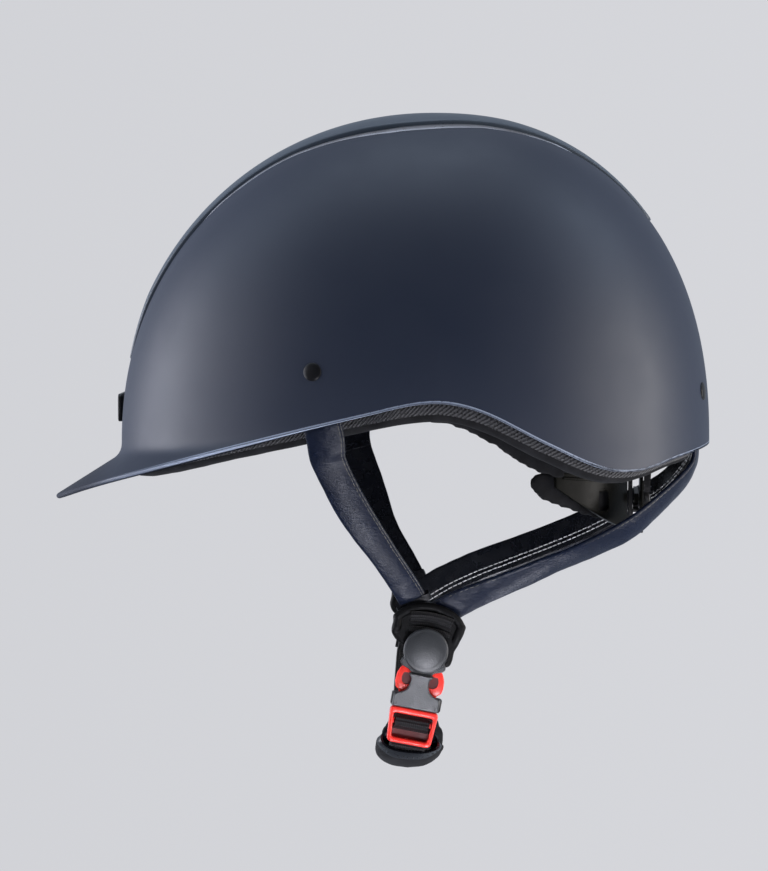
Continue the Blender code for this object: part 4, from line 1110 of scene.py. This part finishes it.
def strap_section(width, thickness, crown=0.0, count=52):
    """A strap's rounded section as (across, out) points; crown is how much its outer face bulges."""
    w, t, r = width / 2, thickness / 2, min(1.1, thickness / 2.2)
    outline = oblong(w, -t, t, r, 6)
    outline = evenly(np.vstack([outline, outline[:1]]), count + 1)[:-1]
    outline[:, 1] += np.where(outline[:, 1] > 0, crown * (1 - (outline[:, 0] / w) ** 2), 0)
    return outline


def beside(path, outward, across, lift):
    """The line across mm to one side of a path and lift mm out of it."""
    out, side = frames_along(path, outward)
    return np.asarray(path) + side * across + out * lift


def harness_strap(name, path, outward, section, replaced, seed):
    """Leather outside and patent lining inside."""
    lining = np.asarray(section).reshape(-1, np.shape(section)[-2], 2)[0, :, 1] < -0.3
    strap = band(name, path, outward, section, [LEATHER, LINING], "helmet",
                 slot_of=lambda i, k: int(lining[k] and lining[(k + 1) % len(lining)]))
    crumple(strap, 0.14, 5.0, seed)
    crumple(strap, 0.22, 16.0, seed + 3)
    return stands_for(strap, "navy_leather", replaced)


# Along a rear strap, from its anchor (0) to its tail (25): how far its outer face turns down, and how much
# higher than its path the left one lies.
REAR_TILT = {"left": [(0, 0), (5, -0.25), (9, -0.6), (12.5, -0.85), (16, -1.2), (19, -1.1), (21, -0.8),
                      (23, -0.45), (25, 0)],
             "right": [(0, 0), (6, -0.15), (10, -0.5), (14, -0.5), (19, -0.2), (25, 0)]}
LEFT_LIFT = [(0, 0), (10, 0), (12.5, -0.2), (15, 0.8), (18, 1.6), (20.3, 2.5), (22.5, 2.0), (25, 0)]
# The rear straps' ends, tucked in behind the dividers.
REAR_TAIL = {"left": [(59.6, 12, -77.2)], "right": [(-59.2, 4.5, -77.2), (-60.6, -2, -81.5)]}


def harness_straps():
    for number, (side, sign) in enumerate(SIDES.items()):
        path = smooth_path(FRONT_STRAPS[side], 110)
        at = np.linspace(0, 21, 110)
        near = max(sign, 0)
        slim = 0.15 * near * fade(at, 10, 13.5)
        path[:, 1] -= 2.0 * fade(at, 3, 7) * (1 - fade(at, 12 - 4.5 * near, 18 - 6.5 * near))
        outward = stack(sign, -0.17 * np.maximum(0, 1 - at / 11), 0)
        rear = -sign
        section = strap_section(STRAP_WIDTH, STRAP_THICKNESS - 1.1, 0.9)
        wider = 1 - fade(at, 3.5, 8.5)
        sections = np.stack([section * (1 + 0.16 * a - b, 1) + (rear * 1.2 * a, 0) for a, b in zip(wider, slim)])
        harness_strap(f"front_strap_body_{side}", path, outward, sections, f"front_strap_{side}", number)
        out, _ = frames_along(path, outward)
        inside = (path - out * (STRAP_THICKNESS / 2 + 0.15))[28:42]
        fold = band(f"strap_lining_fold_{side}", inside, outward[28:42], strap_section(STRAP_WIDTH - 1.6, 1.3),
                    LINING, "helmet")
        crumple(fold, 0.2, 4.0, 6)
        for k, across in enumerate((0.45, 1.5)):
            edge = rear * (STRAP_WIDTH / 2 * (1 - slim) - across + 2.4 * wider)[:, None]
            line = beside(path, outward, edge, 0.9 + 0.4 * k)
            stitches(f"front_edge_thread_{side}_{k}", line, outward, EDGE_THREAD, "helmet", 0.05,
                             length=2.4, pitch=2.7, radius=0.15)
        path = smooth_path(REAR_STRAPS[side] + REAR_TAIL[side], 170)
        back = np.clip((13 - np.linspace(0, 25, 170)) / 7, 0, 1)
        at, width = np.linspace(0, 25, 170), STRAP_WIDTH - near
        tilt = smooth_value(REAR_TILT[side], at)
        path[:, 2] += near * smooth_value(LEFT_LIFT, at)
        outward = stack(sign * (1 - 0.86 * back), 0.99 * back, tilt)
        section = strap_section(width, STRAP_THICKNESS - 1.0, 0.8)
        harness_strap(f"rear_strap_body_{side}", path, outward, section, f"rear_strap_{side}", number + 5)
        for k, across in enumerate((3.2, 5.2)):
            line = beside(path[8:], outward[8:], -sign * (width / 2 - across), -(STRAP_THICKNESS / 2 - 0.4))
            stitches(f"rear_lining_thread_{side}_{k}", line, -outward[8:], PALE_THREAD, "helmet", 0.05,
                             length=2.3, pitch=2.65, radius=0.27, wander=0.08)
            line = beside(path, outward, sign * (width / 2 - 0.9 - 3.0 * k), 1.0 + 0.3 * k)
            stitches(f"rear_edge_thread_{side}_{k}", line, outward, EDGE_THREAD, "helmet", 0.03,
                             length=2.1, pitch=2.7, radius=0.15)
        strap_keeper(side, sign)


def strap_keeper(side, sign):
    """A short leather loop round the front strap, just above the divider."""
    path = smooth_path(FRONT_STRAPS[side], 110)
    outward = stack(sign, -0.17 * np.maximum(0, 1 - np.linspace(0, 21, 110) / 11), 0)
    wrap = strap_section(STRAP_WIDTH + 1.6, STRAP_THICKNESS + 1.2)
    keeper = band(f"strap_keeper_{side}_0", evenly(path[93:99], 9), outward[93:102], wrap, DARK_LEATHER,
                  "helmet")
    crumple(keeper, 0.12, 3.0, 9)


# ---- buckle and chin strap ----


def chin_frames():
    """For each side: origin at the pivot, u forward, v down, w outward along the hinge line."""
    hinge = unit(PIVOTS["left"] - PIVOTS["right"])
    down = unit(HANG - hinge * (HANG @ hinge))
    forward = np.cross(down, hinge)
    forward = -forward if forward[1] > 0 else forward
    return {side: (PIVOTS[side], forward, down, hinge * sign) for side, sign in SIDES.items()}


FRAMES = chin_frames()
GUARD = [(-9.5, 6.5), (-13.2, -2), (-15.8, -11), (-15.2, -14.5), (-10, -19), (0, -21.3), (10, -19.4),
         (16.5, -14), (17, -10.5), (14, -2), (9.5, 6.5)]


def rim_tube(name, outline, where, low, high, width, material, body):
    """A soft rolled edge along a plate's outline, from low to high and width wide."""
    turns = np.linspace(0, 2 * math.pi, 16, endpoint=False)
    middle, half = (low + high) / 2, (high - low) / 2
    rings = []
    for t in turns:
        level = np.reshape(middle + half * math.sin(t), (-1, 1))
        rings.append(on_frame(where, inset(outline, width / 2 - width / 2 * math.cos(t)), level))
    return loft(name, np.array(rings).swapaxes(0, 1), material, body, closed=True, smooth=80)


def bowed_line(where, v, w, half, count):
    """A slightly bowed line across a frame, v down it and w out of it."""
    u = np.linspace(-half, half, count)
    return on_frame(where, np.stack([u, v + 0.012 * u * u], axis=1), w)


def dividers():
    """The guard behind the pivot that holds both straps, its rolled edge, webbing fold and pivot disc."""
    for side in SIDES:
        where = FRAMES[side]
        outline = flowing(GUARD[:-1], 120)
        plate = slab(f"guard_plate_{side}", inset(outline, 1.0), where, -2.0, -0.1, 0.6, GUARD_BLACK, "helmet")
        crumple(plate, 0.12, 4.0, 2)
        stands_for(plate, "black_webbing", f"divider_guard_{side}")
        proud = 1.2 - 1.35 * fade(outline[:, 1], -8, -3)
        edge = rim_tube(f"guard_edge_{side}", outline, where, -2.2, proud, 4.2, GUARD_BLACK, "helmet")
        crumple(edge, 0.16, 2.6, 6)
        upper = bowed_line(where, -15.1, 1.9, 9.6, 50)
        turns = np.linspace(0, 2 * math.pi, 20, endpoint=False)
        oval = np.stack([2.1 * np.cos(turns), 1.4 * np.sin(turns)], axis=1)
        facing = np.tile(where[3], (50, 1))
        fold = band(f"webbing_fold_{side}", upper, facing, oval, WEBBING, "helmet", smooth=80)
        stands_for(fold, "black_webbing", f"webbing_roll_{side}")
        for k, v in enumerate((-12.1, -8.9)):
            line = bowed_line(where, v, 0.2, 9.5, 40)
            rib = band(f"guard_rib_{side}_{k}", line, np.tile(where[3], (40, 1)), oval * (0.62, 0.75), WEBBING,
                       "helmet", smooth=80)
        r = DISC_RADIUS
        profile = [(2.6, GAP), (2.6, 4.2), (r - 0.7, 4.3), (r, 4.9), (r, 5.5), (r - 0.12, 5.85), (r - 0.4, 6.1),
                   (r - 0.9, 6.22), (r - 1.3, 6.2), (8.2, 6.42), (6.5, 6.7), (4.5, 6.95), (2.3, 7.12),
                   (0.3, 7.18)]
        disc = turned(f"pivot_cap_{side}", profile, where[0], where[3], GREY, "helmet", sides=72, smooth=50)
        stands_for(disc, "grey_plastic", f"pivot_disc_{side}")


def socket():
    """The buckle's female half: a neck from the pivot, a waist between two windows, and a wide hollow mouth."""
    where = FRAMES["left"]
    origin, forward, down, out = where
    turns = np.radians(np.arange(-200, 21, 11))
    right = [(10.6, 6.6), (9.6, 8.4), (5.4, 9.8), (WAIST, 12.5), (WAIST, 16.0), (5.2, 18.4)]
    neck = [(9 * math.cos(t), 9 * math.sin(t)) for t in turns] + right + [(-u, v) for u, v in reversed(right)]
    neck = rounded(neck, 0.9, 3)
    stem = slab("socket_neck", neck, where, 2.1, 4.1, 0.5, GREY, "chin_loop", margin=0.2)
    stands_for(stem, "grey_plastic", "buckle_socket")
    flare = [(6.2, 10.6), (WAIST, 12.6), (WAIST, 15.8), (5.0, 18.0), (7.0, 19.6), (9.6, 20.5), (10.5, 22.2),
             (10.5, 26.7)]
    flare = rounded(flare + [(-u, v) for u, v in reversed(flare)], 1.2, 6)
    lean = math.radians(4)
    c, s = math.cos(lean), math.sin(lean)
    tilted = (origin, forward, down * c - out * s, out * c + down * s)
    shoulder = slab("socket_shoulder", flare, tilted, 4.4, 6.6, 0.5, GREY, "chin_loop", steps=6, margin=0.15)
    across = (origin, forward, out, down)
    w, top, bottom = SOCKET_HALF_WIDTH, 4.8, -2.6
    outline = rounded([(w, top), (-w, top), (-w, bottom), (w, bottom)], 2.0, 8)
    mouth = rounded([(w - 1.6, 3.7), (1.6 - w, 3.7), (1.6 - w, -0.9), (w - 1.6, -0.9)], 0.6, 8)
    block = slab("socket_block", outline, across, 20.8, SOCKET_END, 0.6, GREY, "chin_loop", hole=mouth)
    for side, sign in (("front", 1), ("rear", -1)):
        outer, inner = sign * (w + 0.25), sign * (w - 2.6)
        grip = [(outer, top - 0.8), (inner, top + 0.22), (inner, bottom - 0.2), (outer, bottom + 0.8)]
        grip = rounded(grip, 0.5, 5)
        hollow = inset(grip, 1.05)
        band_ = slab(f"socket_grip_{side}", grip, across, 21.1, SOCKET_END - 0.7, 0.3, SATIN_BLACK, "chin_loop",
                     hole=hollow)


def prongs():
    """Red spring arms: a hollowed shoulder that shows in each window of the socket, tucked under its neck."""
    arm = [(5.9, 26.6), (6.3, 20.5), (5.4, 18.8), (4.4, 16.6), (4.0, 13.5), (4.9, 10.6), (6.6, 8.6), (8.2, 8.0),
           (9.8, 9.6), (10.9, 12.6), (11.1, 16.0), (10.4, 18.8), (8.6, 19.7), (8.0, 26.6), (8.2, 27.4),
           (8.4, 28.2), (7.7, 29.4), (6.3, 29.4), (5.6, 28.2)]
    slot = [(3.0, 12.4), (6.0, 11.4), (7.9, 11.6), (8.5, 13.8), (8.0, 16.0), (6.4, 17.0), (3.0, 16.4)]
    for side, sign in (("front", 1), ("rear", -1)):
        outline = rounded([(u * sign, v) for u, v in arm], 1.0, 5)
        hole = rounded([(u * sign, v) for u, v in slot], 0.6, 5)
        body = f"prong_{side}"
        prong = slab(f"prong_arm_{side}", outline, FRAMES["left"], 0.35, 1.85, 0.45, RED, body)
        cutter = slab("slot_cutter", hole, FRAMES["left"], -2, 5, 0.05, RED)
        cut(prong, cutter)
        # The floor of each hollow is painted shade, in the darker copy of the red.
        floor = rounded([(u * sign * 0.98, v) for u, v in slot], 0.6, 5)
        floor = slab(f"prong_floor_{side}", inset(floor, -0.25), FRAMES["left"], 0.45, 0.75, 0.1, SHADED_RED, body)
        prong.data.set_sharp_from_angle(angle=math.radians(40))
        stands_for(prong, "red_plastic", body)


def tongue():
    """The red frame that carries the prongs, with a bar for the webbing across its window."""
    where = FRAMES["left"]
    top = SOCKET_END + GAP
    outer = rounded([(11.2, top), (10.0, FRAME_END), (-10.0, FRAME_END), (-11.2, top)], 2.4, 9)
    window = rounded([(9.1, 30.1), (8.3, 41.4), (-8.3, 41.4), (-9.1, 30.1)], 1.5, 9)
    frame_ = slab("tongue_body", outer, where, -1.6, 4.2, 0.9, RED, "tongue", hole=window, steps=5)
    stands_for(frame_, "red_plastic", "tongue_frame")
    across = (where[0], where[2], where[3], where[1])
    bar = rounded([(35.1, 1.2), (32.7, 1.2), (32.7, -0.8), (35.1, -0.8)], 0.7, 5)
    # A sheet inside the window, in the darker red that paints the shade there.
    shelf = rounded([(8.6, 37.6), (8.6, 41.8), (-8.6, 41.8), (-8.6, 37.6)], 0.5, 4)
    slab("tongue_shelf", shelf, where, -1.4, -0.5, 0.1, SHADED_RED, "tongue")
    slab("tongue_bar", bar, across, -8.8, 8.8, 0.1, RED, "tongue")


def loop_frame(points, count=150):
    path = smooth_path(points, count)
    along = np.gradient(path, axis=0)
    return path, unit(np.cross(along, (0, 1, 0)))


def follows_buckle(piece):
    """Bakes the piece's transform into its mesh; it is not attached to any body."""
    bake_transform(piece)


def cupped(section, at):
    """The section at each place along the chin loop, its edges curved up towards the jaw under the chin."""
    depth = 3.8 * (fade(at, 16, 32) - fade(at, 100, 116))
    flat, bowl = 0 * section[:, 0], (section[:, 0] / 15) ** 2
    return np.stack([section - np.stack([flat, d * bowl], axis=1) for d in depth])


def chin_strap():
    path, outward = loop_frame(LOOP_PATH)
    section = strap_section(WEBBING_WIDTH, WEBBING_THICKNESS, count=40)
    tail = np.array([LOOP_PATH[-1], (-62.4, -2.3, -105.5), (-61.0, -1.4, -100.5)])
    whole = np.vstack([path, smooth_path(tail, 22)[1:]])
    facing = unit(np.cross(np.gradient(whole, axis=0), (0, 1, 0)))
    webbing = band("webbing_strap", whole, facing, cupped(section, np.arange(len(whole))), WEBBING)
    crumple(webbing, 0.12, 6.0, 1)
    stands_for(webbing, "black_webbing", "chin_webbing")
    follows_buckle(webbing)

    where = FRAMES["left"]
    wrap = [(46, -2.7), (42, -2.6), (39, -2.3), (37.2, -0.9), (36.4, 0.9), (35.4, 2.1), (34, 2.35), (32.7, 2.05),
            (31.6, 1.1), (31.4, -0.3), (31.8, -1.6), (33.4, -2.4), (36, -3.0)]
    route = [where[0] + where[2] * v + where[3] * w for v, w in wrap]
    route = smooth_path(route, 70)
    out = np.cross(np.gradient(route, axis=0), where[1])
    fold = band("webbing_fold", route, out, strap_section(16.2, 1.3, count=36), CROSS_WEBBING, "tongue")
    crumple(fold, 0.1, 3.0, 8)

    first, last = 28, 100
    inner = path[first:last]
    wide = strap_section(PAD_WIDTH - 3.2, 2.4, count=44)
    middle = inner - outward[first:last] * (WEBBING_THICKNESS / 2 + GAP + 2.0)
    pad = band("chin_cushion", middle, outward[first:last], cupped(wide, np.arange(first, last)), MESH)
    inflate(pad, 2.2, 1.2)
    ends = lengths(path)[[first, last]]

    def channels(p):
        nearest = np.argmin(((p[:, None] - path[None, ::3]) ** 2).sum(axis=2), axis=1) * 3
        along = lengths(path)[nearest]
        bars = np.abs((along - ends[0]) % 17 - 8.5)
        return 0.9 * line_seam(bars, 1.2)

    quilt(pad, channels)
    stands_for(pad, "mesh_fabric", "chin_pad")
    follows_buckle(pad)
    chin_sleeve(path, outward)


def chin_sleeve(path, outward):
    """The fabric sleeve round webbing and pad: closed under the chin, open and flared at the buckle."""
    first, last, steps = 11, 106, 96
    out, across = frames_along(path, outward)
    across = across * np.sign(across[:, 1:2])
    tracks = np.hstack([path - outward * 1.6, out, across])
    turns = np.linspace(0, 2 * math.pi, 56, endpoint=False)
    begin = first + 14 * (0.5 + 0.5 * np.sin(turns)) ** 1.3
    rings_out, rings_in = [], []
    for share in np.linspace(0, 1, steps):
        at = begin + (last - begin) * share
        placed = np.stack([np.interp(at, np.arange(len(path)), track) for track in tracks.T], axis=1)
        middle, lift, side = np.split(placed, 3, axis=1)
        flare = np.exp(-(at - begin) / 6.0)
        width = PAD_WIDTH / 2 - 2.6 + 2.4 * (fade(at, first, 25) - fade(at, 90, 106))
        cup = 3.8 * (fade(at, 16, 32) - fade(at, 100, 116))
        for rings, wall in ((rings_out, 0.0), (rings_in, 1.0)):
            a = np.copysign(np.abs(np.cos(turns)) ** 0.5, np.cos(turns)) * (width - wall)
            a += 1.6 * np.clip(np.cos(turns), 0, 1) ** 4 * np.exp(-(((at - 35) / 4.0) ** 2))
            b = np.copysign(np.abs(np.sin(turns)) ** 0.85, np.sin(turns)) * (3.6 + 0.8 * flare - wall)
            b = b - cup * (a / 15) ** 2
            rings.append(middle + side * a[:, None] + lift * b[:, None])
    outer, inner = np.array(rings_out), np.array(rings_in)
    sections = np.concatenate([outer, inner[::-1]], axis=0).swapaxes(0, 1)
    sleeve = loft("chin_sleeve", sections, [CLOTH, LINING], None, closed=True, smooth=70,
                  slot_of=lambda i, k: int(k >= steps or k < 8))
    crumple(sleeve, 0.28, 5.0, 12)
    crumple(sleeve, 0.35, 13.0, 17)
    stands_for(sleeve, "mesh_fabric", "chin_pad_cover")
    follows_buckle(sleeve)
    mouth = outer[5][3:26]
    outer_side = mouth - outer[5].mean(axis=0)
    row = stitches("sleeve_mouth_thread", evenly(mouth, 80), evenly(outer_side, 80), DARK_THREAD, None, 0.1,
                   length=1.2, pitch=2.3, radius=0.17)
    follows_buckle(row)


# ---- cradle ----


def arm_band(name, sign, turns, depth, thickness, top, bottom, material, body, window=None, rows=14):
    """A curved band of the cradle, with heights given by functions of the share along it."""
    shares = np.linspace(0, 1, 56)
    angle = np.radians(turns[0] + (turns[1] - turns[0]) * shares)
    z = np.array([bottom(shares) + (top(shares) - bottom(shares)) * r for r in np.linspace(0, 1, rows)])
    grids = []
    for d in (depth, depth + thickness):
        x = (CRADLE_HALF_WIDTH - d) * np.sin(angle)
        y = CRADLE_CENTRE_Y + (CRADLE_REACH - d) * np.cos(angle)
        grids.append(stack(sign * x + 0 * z, y + 0 * z, z))
    band_ = skin(name, grids[0], grids[1], material, body)
    if window:
        (first, last), (low, high) = window
        outline = rounded([(first, low), (last, low), (last, high), (first, high)], 1.6, 6)
        where = (np.zeros(3), np.array((0, 1, 0)), np.array((0, 0, 1)), np.array((sign, 0, 0)))
        cut(band_, slab("window_cutter", outline, where, 20, 90, 0.1, material))
    rounding = band_.modifiers.new("edges", "BEVEL")
    rounding.width, rounding.segments, rounding.limit_method = 0.35 * MM, 2, "ANGLE"
    rounding.angle_limit = math.radians(50)
    settle(band_)
    band_.data.set_sharp_from_angle(angle=math.radians(40))
    return band_


def cradle():
    def arm_top(s):
        return -14 + 4 * s

    def arm_bottom(s):
        return -38 + 21 * s**1.5

    def pad_top(s):
        return -15.6 + 7 * s - 5.5 * np.clip((s - 0.86) / 0.14, 0, 1) ** 2.5

    def pad_bottom(s):
        return -35.4 + 15 * s**1.5 + 4.5 * np.clip((s - 0.88) / 0.12, 0, 1) ** 2.5

    for side, sign in SIDES.items():
        body = f"rack_{side}"
        arm = arm_band(f"cradle_arm_body_{side}", sign, (24.9, 66), 1.2, 1.8, arm_top, arm_bottom, OLIVE_GLOSS,
                       body, window=((86, 90.5), (-29, -20)))
        stands_for(arm, "gloss_black", f"cradle_arm_{side}")
        rib = arm_band(f"cradle_arm_rib_{side}", sign, (26, 63), 0.5, 0.9, lambda s: arm_top(s) - 2.0,
                       lambda s: arm_top(s) - 3.4, OLIVE_GLOSS, body, rows=3)
        pad = arm_band(f"arm_cushion_{side}", sign, (28, 76.4), 4.1, 2.8, pad_top, pad_bottom, CLOTH, body)
        inflate(pad, 1.9, 0.9)
        stands_for(pad, "mesh_fabric", f"arm_pad_{side}")
    back = (np.zeros(3), np.array((1, 0, 0)), np.array((0, 0, 1)), np.array((0, 1, 0)))

    def panel(name, half, low, high, near, far, edge, material, body, radius=2.5):
        outline = rounded([(half, low), (half, high), (-half, high), (-half, low)], radius, 8)
        return slab(name, outline, back, near, far, edge, material, body)

    pad = panel("occipital_cushion", 18.4, -37.4, -17.6, 95.9, 99.0, 0.8, MESH, "cradle")
    inflate(pad, 1.9, 0.8)
    quilt(pad, lambda p: 0.8 * line_seam(np.abs(p[:, 0]) - 9.5))
    stands_for(pad, "mesh_fabric", "occipital_pad")
    cover = panel("yoke_cover_body", 21, -41.4, -15, 105.1, 106.6, 0.45, OLIVE_GLOSS, "cradle")
    stands_for(cover, "gloss_black", "yoke_cover")
    for k, x in enumerate((-15.5, -12.5, 12.5, 15.5)):
        outline = rounded([(x + 0.6, -22), (x + 0.6, -17.5), (x - 0.6, -17.5), (x - 0.6, -22)], 0.5, 4)
        slab(f"yoke_rib_{k}", outline, back, 106.4, 107.1, 0.25, OLIVE_GLOSS, "cradle")
    turns = np.linspace(0, 2 * math.pi, 360, endpoint=False)
    knurl = DIAL_RADIUS - 0.22 + 0.22 * np.sign(np.sin(60 * turns)) * np.abs(np.sin(60 * turns)) ** 0.5
    rim = np.stack([knurl * np.cos(turns), DIAL_Z + knurl * np.sin(turns)], axis=1)
    centre = (0, DIAL_Z)
    sections = [on_frame(back, rim, y) for y in (107.0, 107.3, 109.4)]
    for share, y in ((0.96, 109.8), (0.88, 110.0), (0.8, 109.8), (0.5, 109.6), (0.05, 109.55)):
        sections.append(on_frame(back, (rim - centre) * share + centre, y))
    knob = loft("dial_knob", sections, BLACK, "dial", smooth=40)
    stands_for(knob, "black_plastic", "dial")
    ring_outline = np.stack([np.cos(turns[::4]), np.sin(turns[::4])], axis=1)
    ring = slab("dial_ring", ring_outline * (DIAL_RADIUS - 0.9) + centre, back, 109.6, 110.1, 0.12, DIAL_METAL,
                "dial", hole=ring_outline * (DIAL_RADIUS - 2.1) + centre)


# ---- frame solids that stay, with their own finishes ----

KEPT = {
    "vent_mesh_left": BLACK, "vent_mesh_right": BLACK, "vent_mesh_rear": BLACK,
    "front_anchor_left": STEEL, "front_anchor_right": STEEL,
    "rear_anchor_left": STEEL, "rear_anchor_right": STEEL,
    "hinge_bracket": STEEL, "hinge_pin": STEEL, "yoke_screw_left": STEEL, "yoke_screw_right": STEEL,
    "strap_hanger": GREY, "cradle_hanger": BLACK, "yoke_base": BLACK, "dial_pinion": BLACK,
    "rack_left": OLIVE_GLOSS, "rack_right": OLIVE_GLOSS,
}


def kept_solids():
    for name, material in KEPT.items():
        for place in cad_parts[name].material_slots:
            place.material = material


head_pads()
harness_straps()
dividers()
socket()
prongs()
tongue()
chin_strap()
cradle()
kept_solids()


# ---- stage, lights and camera ----

BACKDROP, BOUNCE = (0.665, 0.672, 0.705), (0.60, 0.67, 0.78)


def backdrop():
    """A pale floor that curves up into a wall; the camera sees its own even grey, the object less light."""
    rings = [(0.8, -2.3), (1.6, -2.2), (2.4, -1.8), (3.0, -1.0), (3.3, 0.2), (3.35, 2.2), (3.0, 3.6)]
    turns = np.linspace(0, 2 * math.pi, 64, endpoint=False)
    points = [[radius * 1000 * math.cos(t), radius * 1000 * math.sin(t), z * 1000]
              for radius, z in rings for t in turns]
    faces = [tuple(range(64))]
    for r in range(len(rings) - 1):
        faces += between_rings(64 * r, 64)
    material = bpy.data.materials.new("backdrop_pale")
    material.use_nodes = True
    tree = material.node_tree
    tree.nodes.clear()
    place = node(tree, "SeparateXYZ", {0: node(tree, "TexCoord").outputs["Object"]})
    sideways = {"Value": place.outputs[1], "From Min": -1.1, "From Max": 1.1, "To Min": 0.955, "To Max": 1.03}
    evenness = node(tree, "MapRange", sideways).outputs[0]
    seen = node(tree, "Emission", {"Color": (*BACKDROP, 1), "Strength": evenness})
    behind = {"Value": place.outputs[0], "From Min": -2.0, "From Max": 2.2, "To Min": 0.58, "To Max": 0.10}
    dimmed = node(tree, "MapRange", behind, interpolation_type="SMOOTHSTEP").outputs[0]
    unseen = node(tree, "Emission", {"Color": (*BOUNCE, 1), "Strength": dimmed})
    camera_ray = node(tree, "LightPath").outputs["Is Camera Ray"]
    mixed = node(tree, "MixShader", {0: camera_ray, 1: unseen.outputs[0], 2: seen.outputs[0]})
    node(tree, "OutputMaterial", {"Surface": mixed.outputs[0]})
    make("backdrop", points, faces, material, outward=False, smooth=180)


def softbox(name, direction, aim, distance, size, power, colour=(1, 1, 1), spread=180):
    """An area light in a direction from the point that it is aimed at, in metres."""
    light = bpy.data.lights.new(name, "AREA")
    light.shape, light.size, light.size_y = "RECTANGLE", *size
    light.energy, light.color, light.spread = power, colour, math.radians(spread)
    obj = bpy.data.objects.new(name, light)
    direction = Vector(direction).normalized()
    obj.location = Vector(aim) + direction * distance
    obj.rotation_euler = direction.to_track_quat("Z", "Y").to_euler()
    bpy.context.scene.collection.objects.link(obj)


def studio():
    world = bpy.data.worlds.new("studio")
    bpy.context.scene.world = world
    world.use_nodes = True
    world.node_tree.nodes["Background"].inputs["Color"].default_value = (*BACKDROP, 1)
    world.node_tree.nodes["Background"].inputs["Strength"].default_value = 0.4
    cool, blue, warm = (0.90, 0.91, 1.0), (0.70, 0.83, 1.0), (1.0, 0.96, 0.93)
    softbox("front_softbox", (-0.12, -0.99, -0.02), (0.063, -0.116, 0.03), 1.5, (0.95, 1.5), 30, cool)
    softbox("front_side_softbox", (0.5, -0.86, 0.05), (0.08, -0.08, 0.05), 1.5, (0.5, 1.5), 6, cool)
    softbox("front_top_softbox", (0.05, -0.7, 0.7), (0, -0.05, 0.08), 1.5, (0.9, 0.9), 4, blue)
    softbox("rear_top_softbox", (0.05, 0.7, 0.7), (0, 0.05, 0.08), 1.5, (0.9, 0.9), 6.5, blue)
    softbox("rear_softbox", (0.06, 0.99, -0.03), (0.073, 0.11, 0.03), 1.5, (0.6, 1.4), 20, warm)
    softbox("rear_side_softbox", (0.52, 0.85, 0.0), (0.08, 0.09, 0.03), 1.5, (0.5, 1.4), 7.6, warm)
    softbox("top_softbox", (-0.10, -0.05, 0.97), (0, 0, 0.1), 1.6, (1.2, 1.2), 8, blue)
    softbox("strap_softbox", (0.60, 0.24, -0.76), (0.06, 0, -0.08), 1.3, (0.5, 0.3), 8, cool)
    softbox("under_softbox", (-0.17, 0.34, -0.93), (0.05, 0.06, -0.06), 1.3, (0.4, 0.3), 2.6, cool)
    softbox("buckle_softbox", (0.93, 0.08, -0.36), (0.07, 0, -0.12), 0.7, (0.22, 0.22), 0.11, cool, spread=26)
    bpy.context.scene.view_settings.view_transform = "Standard"


def camera(azimuth=93.5, elevation=4.0, distance=1.6, target=(0, -0.015, 0.0021), lens=140.4):
    turn, tilt = math.radians(azimuth), math.radians(elevation)
    away = Vector((math.sin(turn) * math.cos(tilt), -math.cos(turn) * math.cos(tilt), math.sin(tilt)))
    made = bpy.data.cameras.new("camera")
    made.lens, made.clip_start, made.clip_end = lens, 0.05, 30
    obj = bpy.data.objects.new("camera", made)
    obj.location = Vector(target) + away * distance
    obj.rotation_euler = away.to_track_quat("Z", "Y").to_euler()
    bpy.context.scene.collection.objects.link(obj)
    bpy.context.scene.camera = obj


backdrop()
studio()
camera()
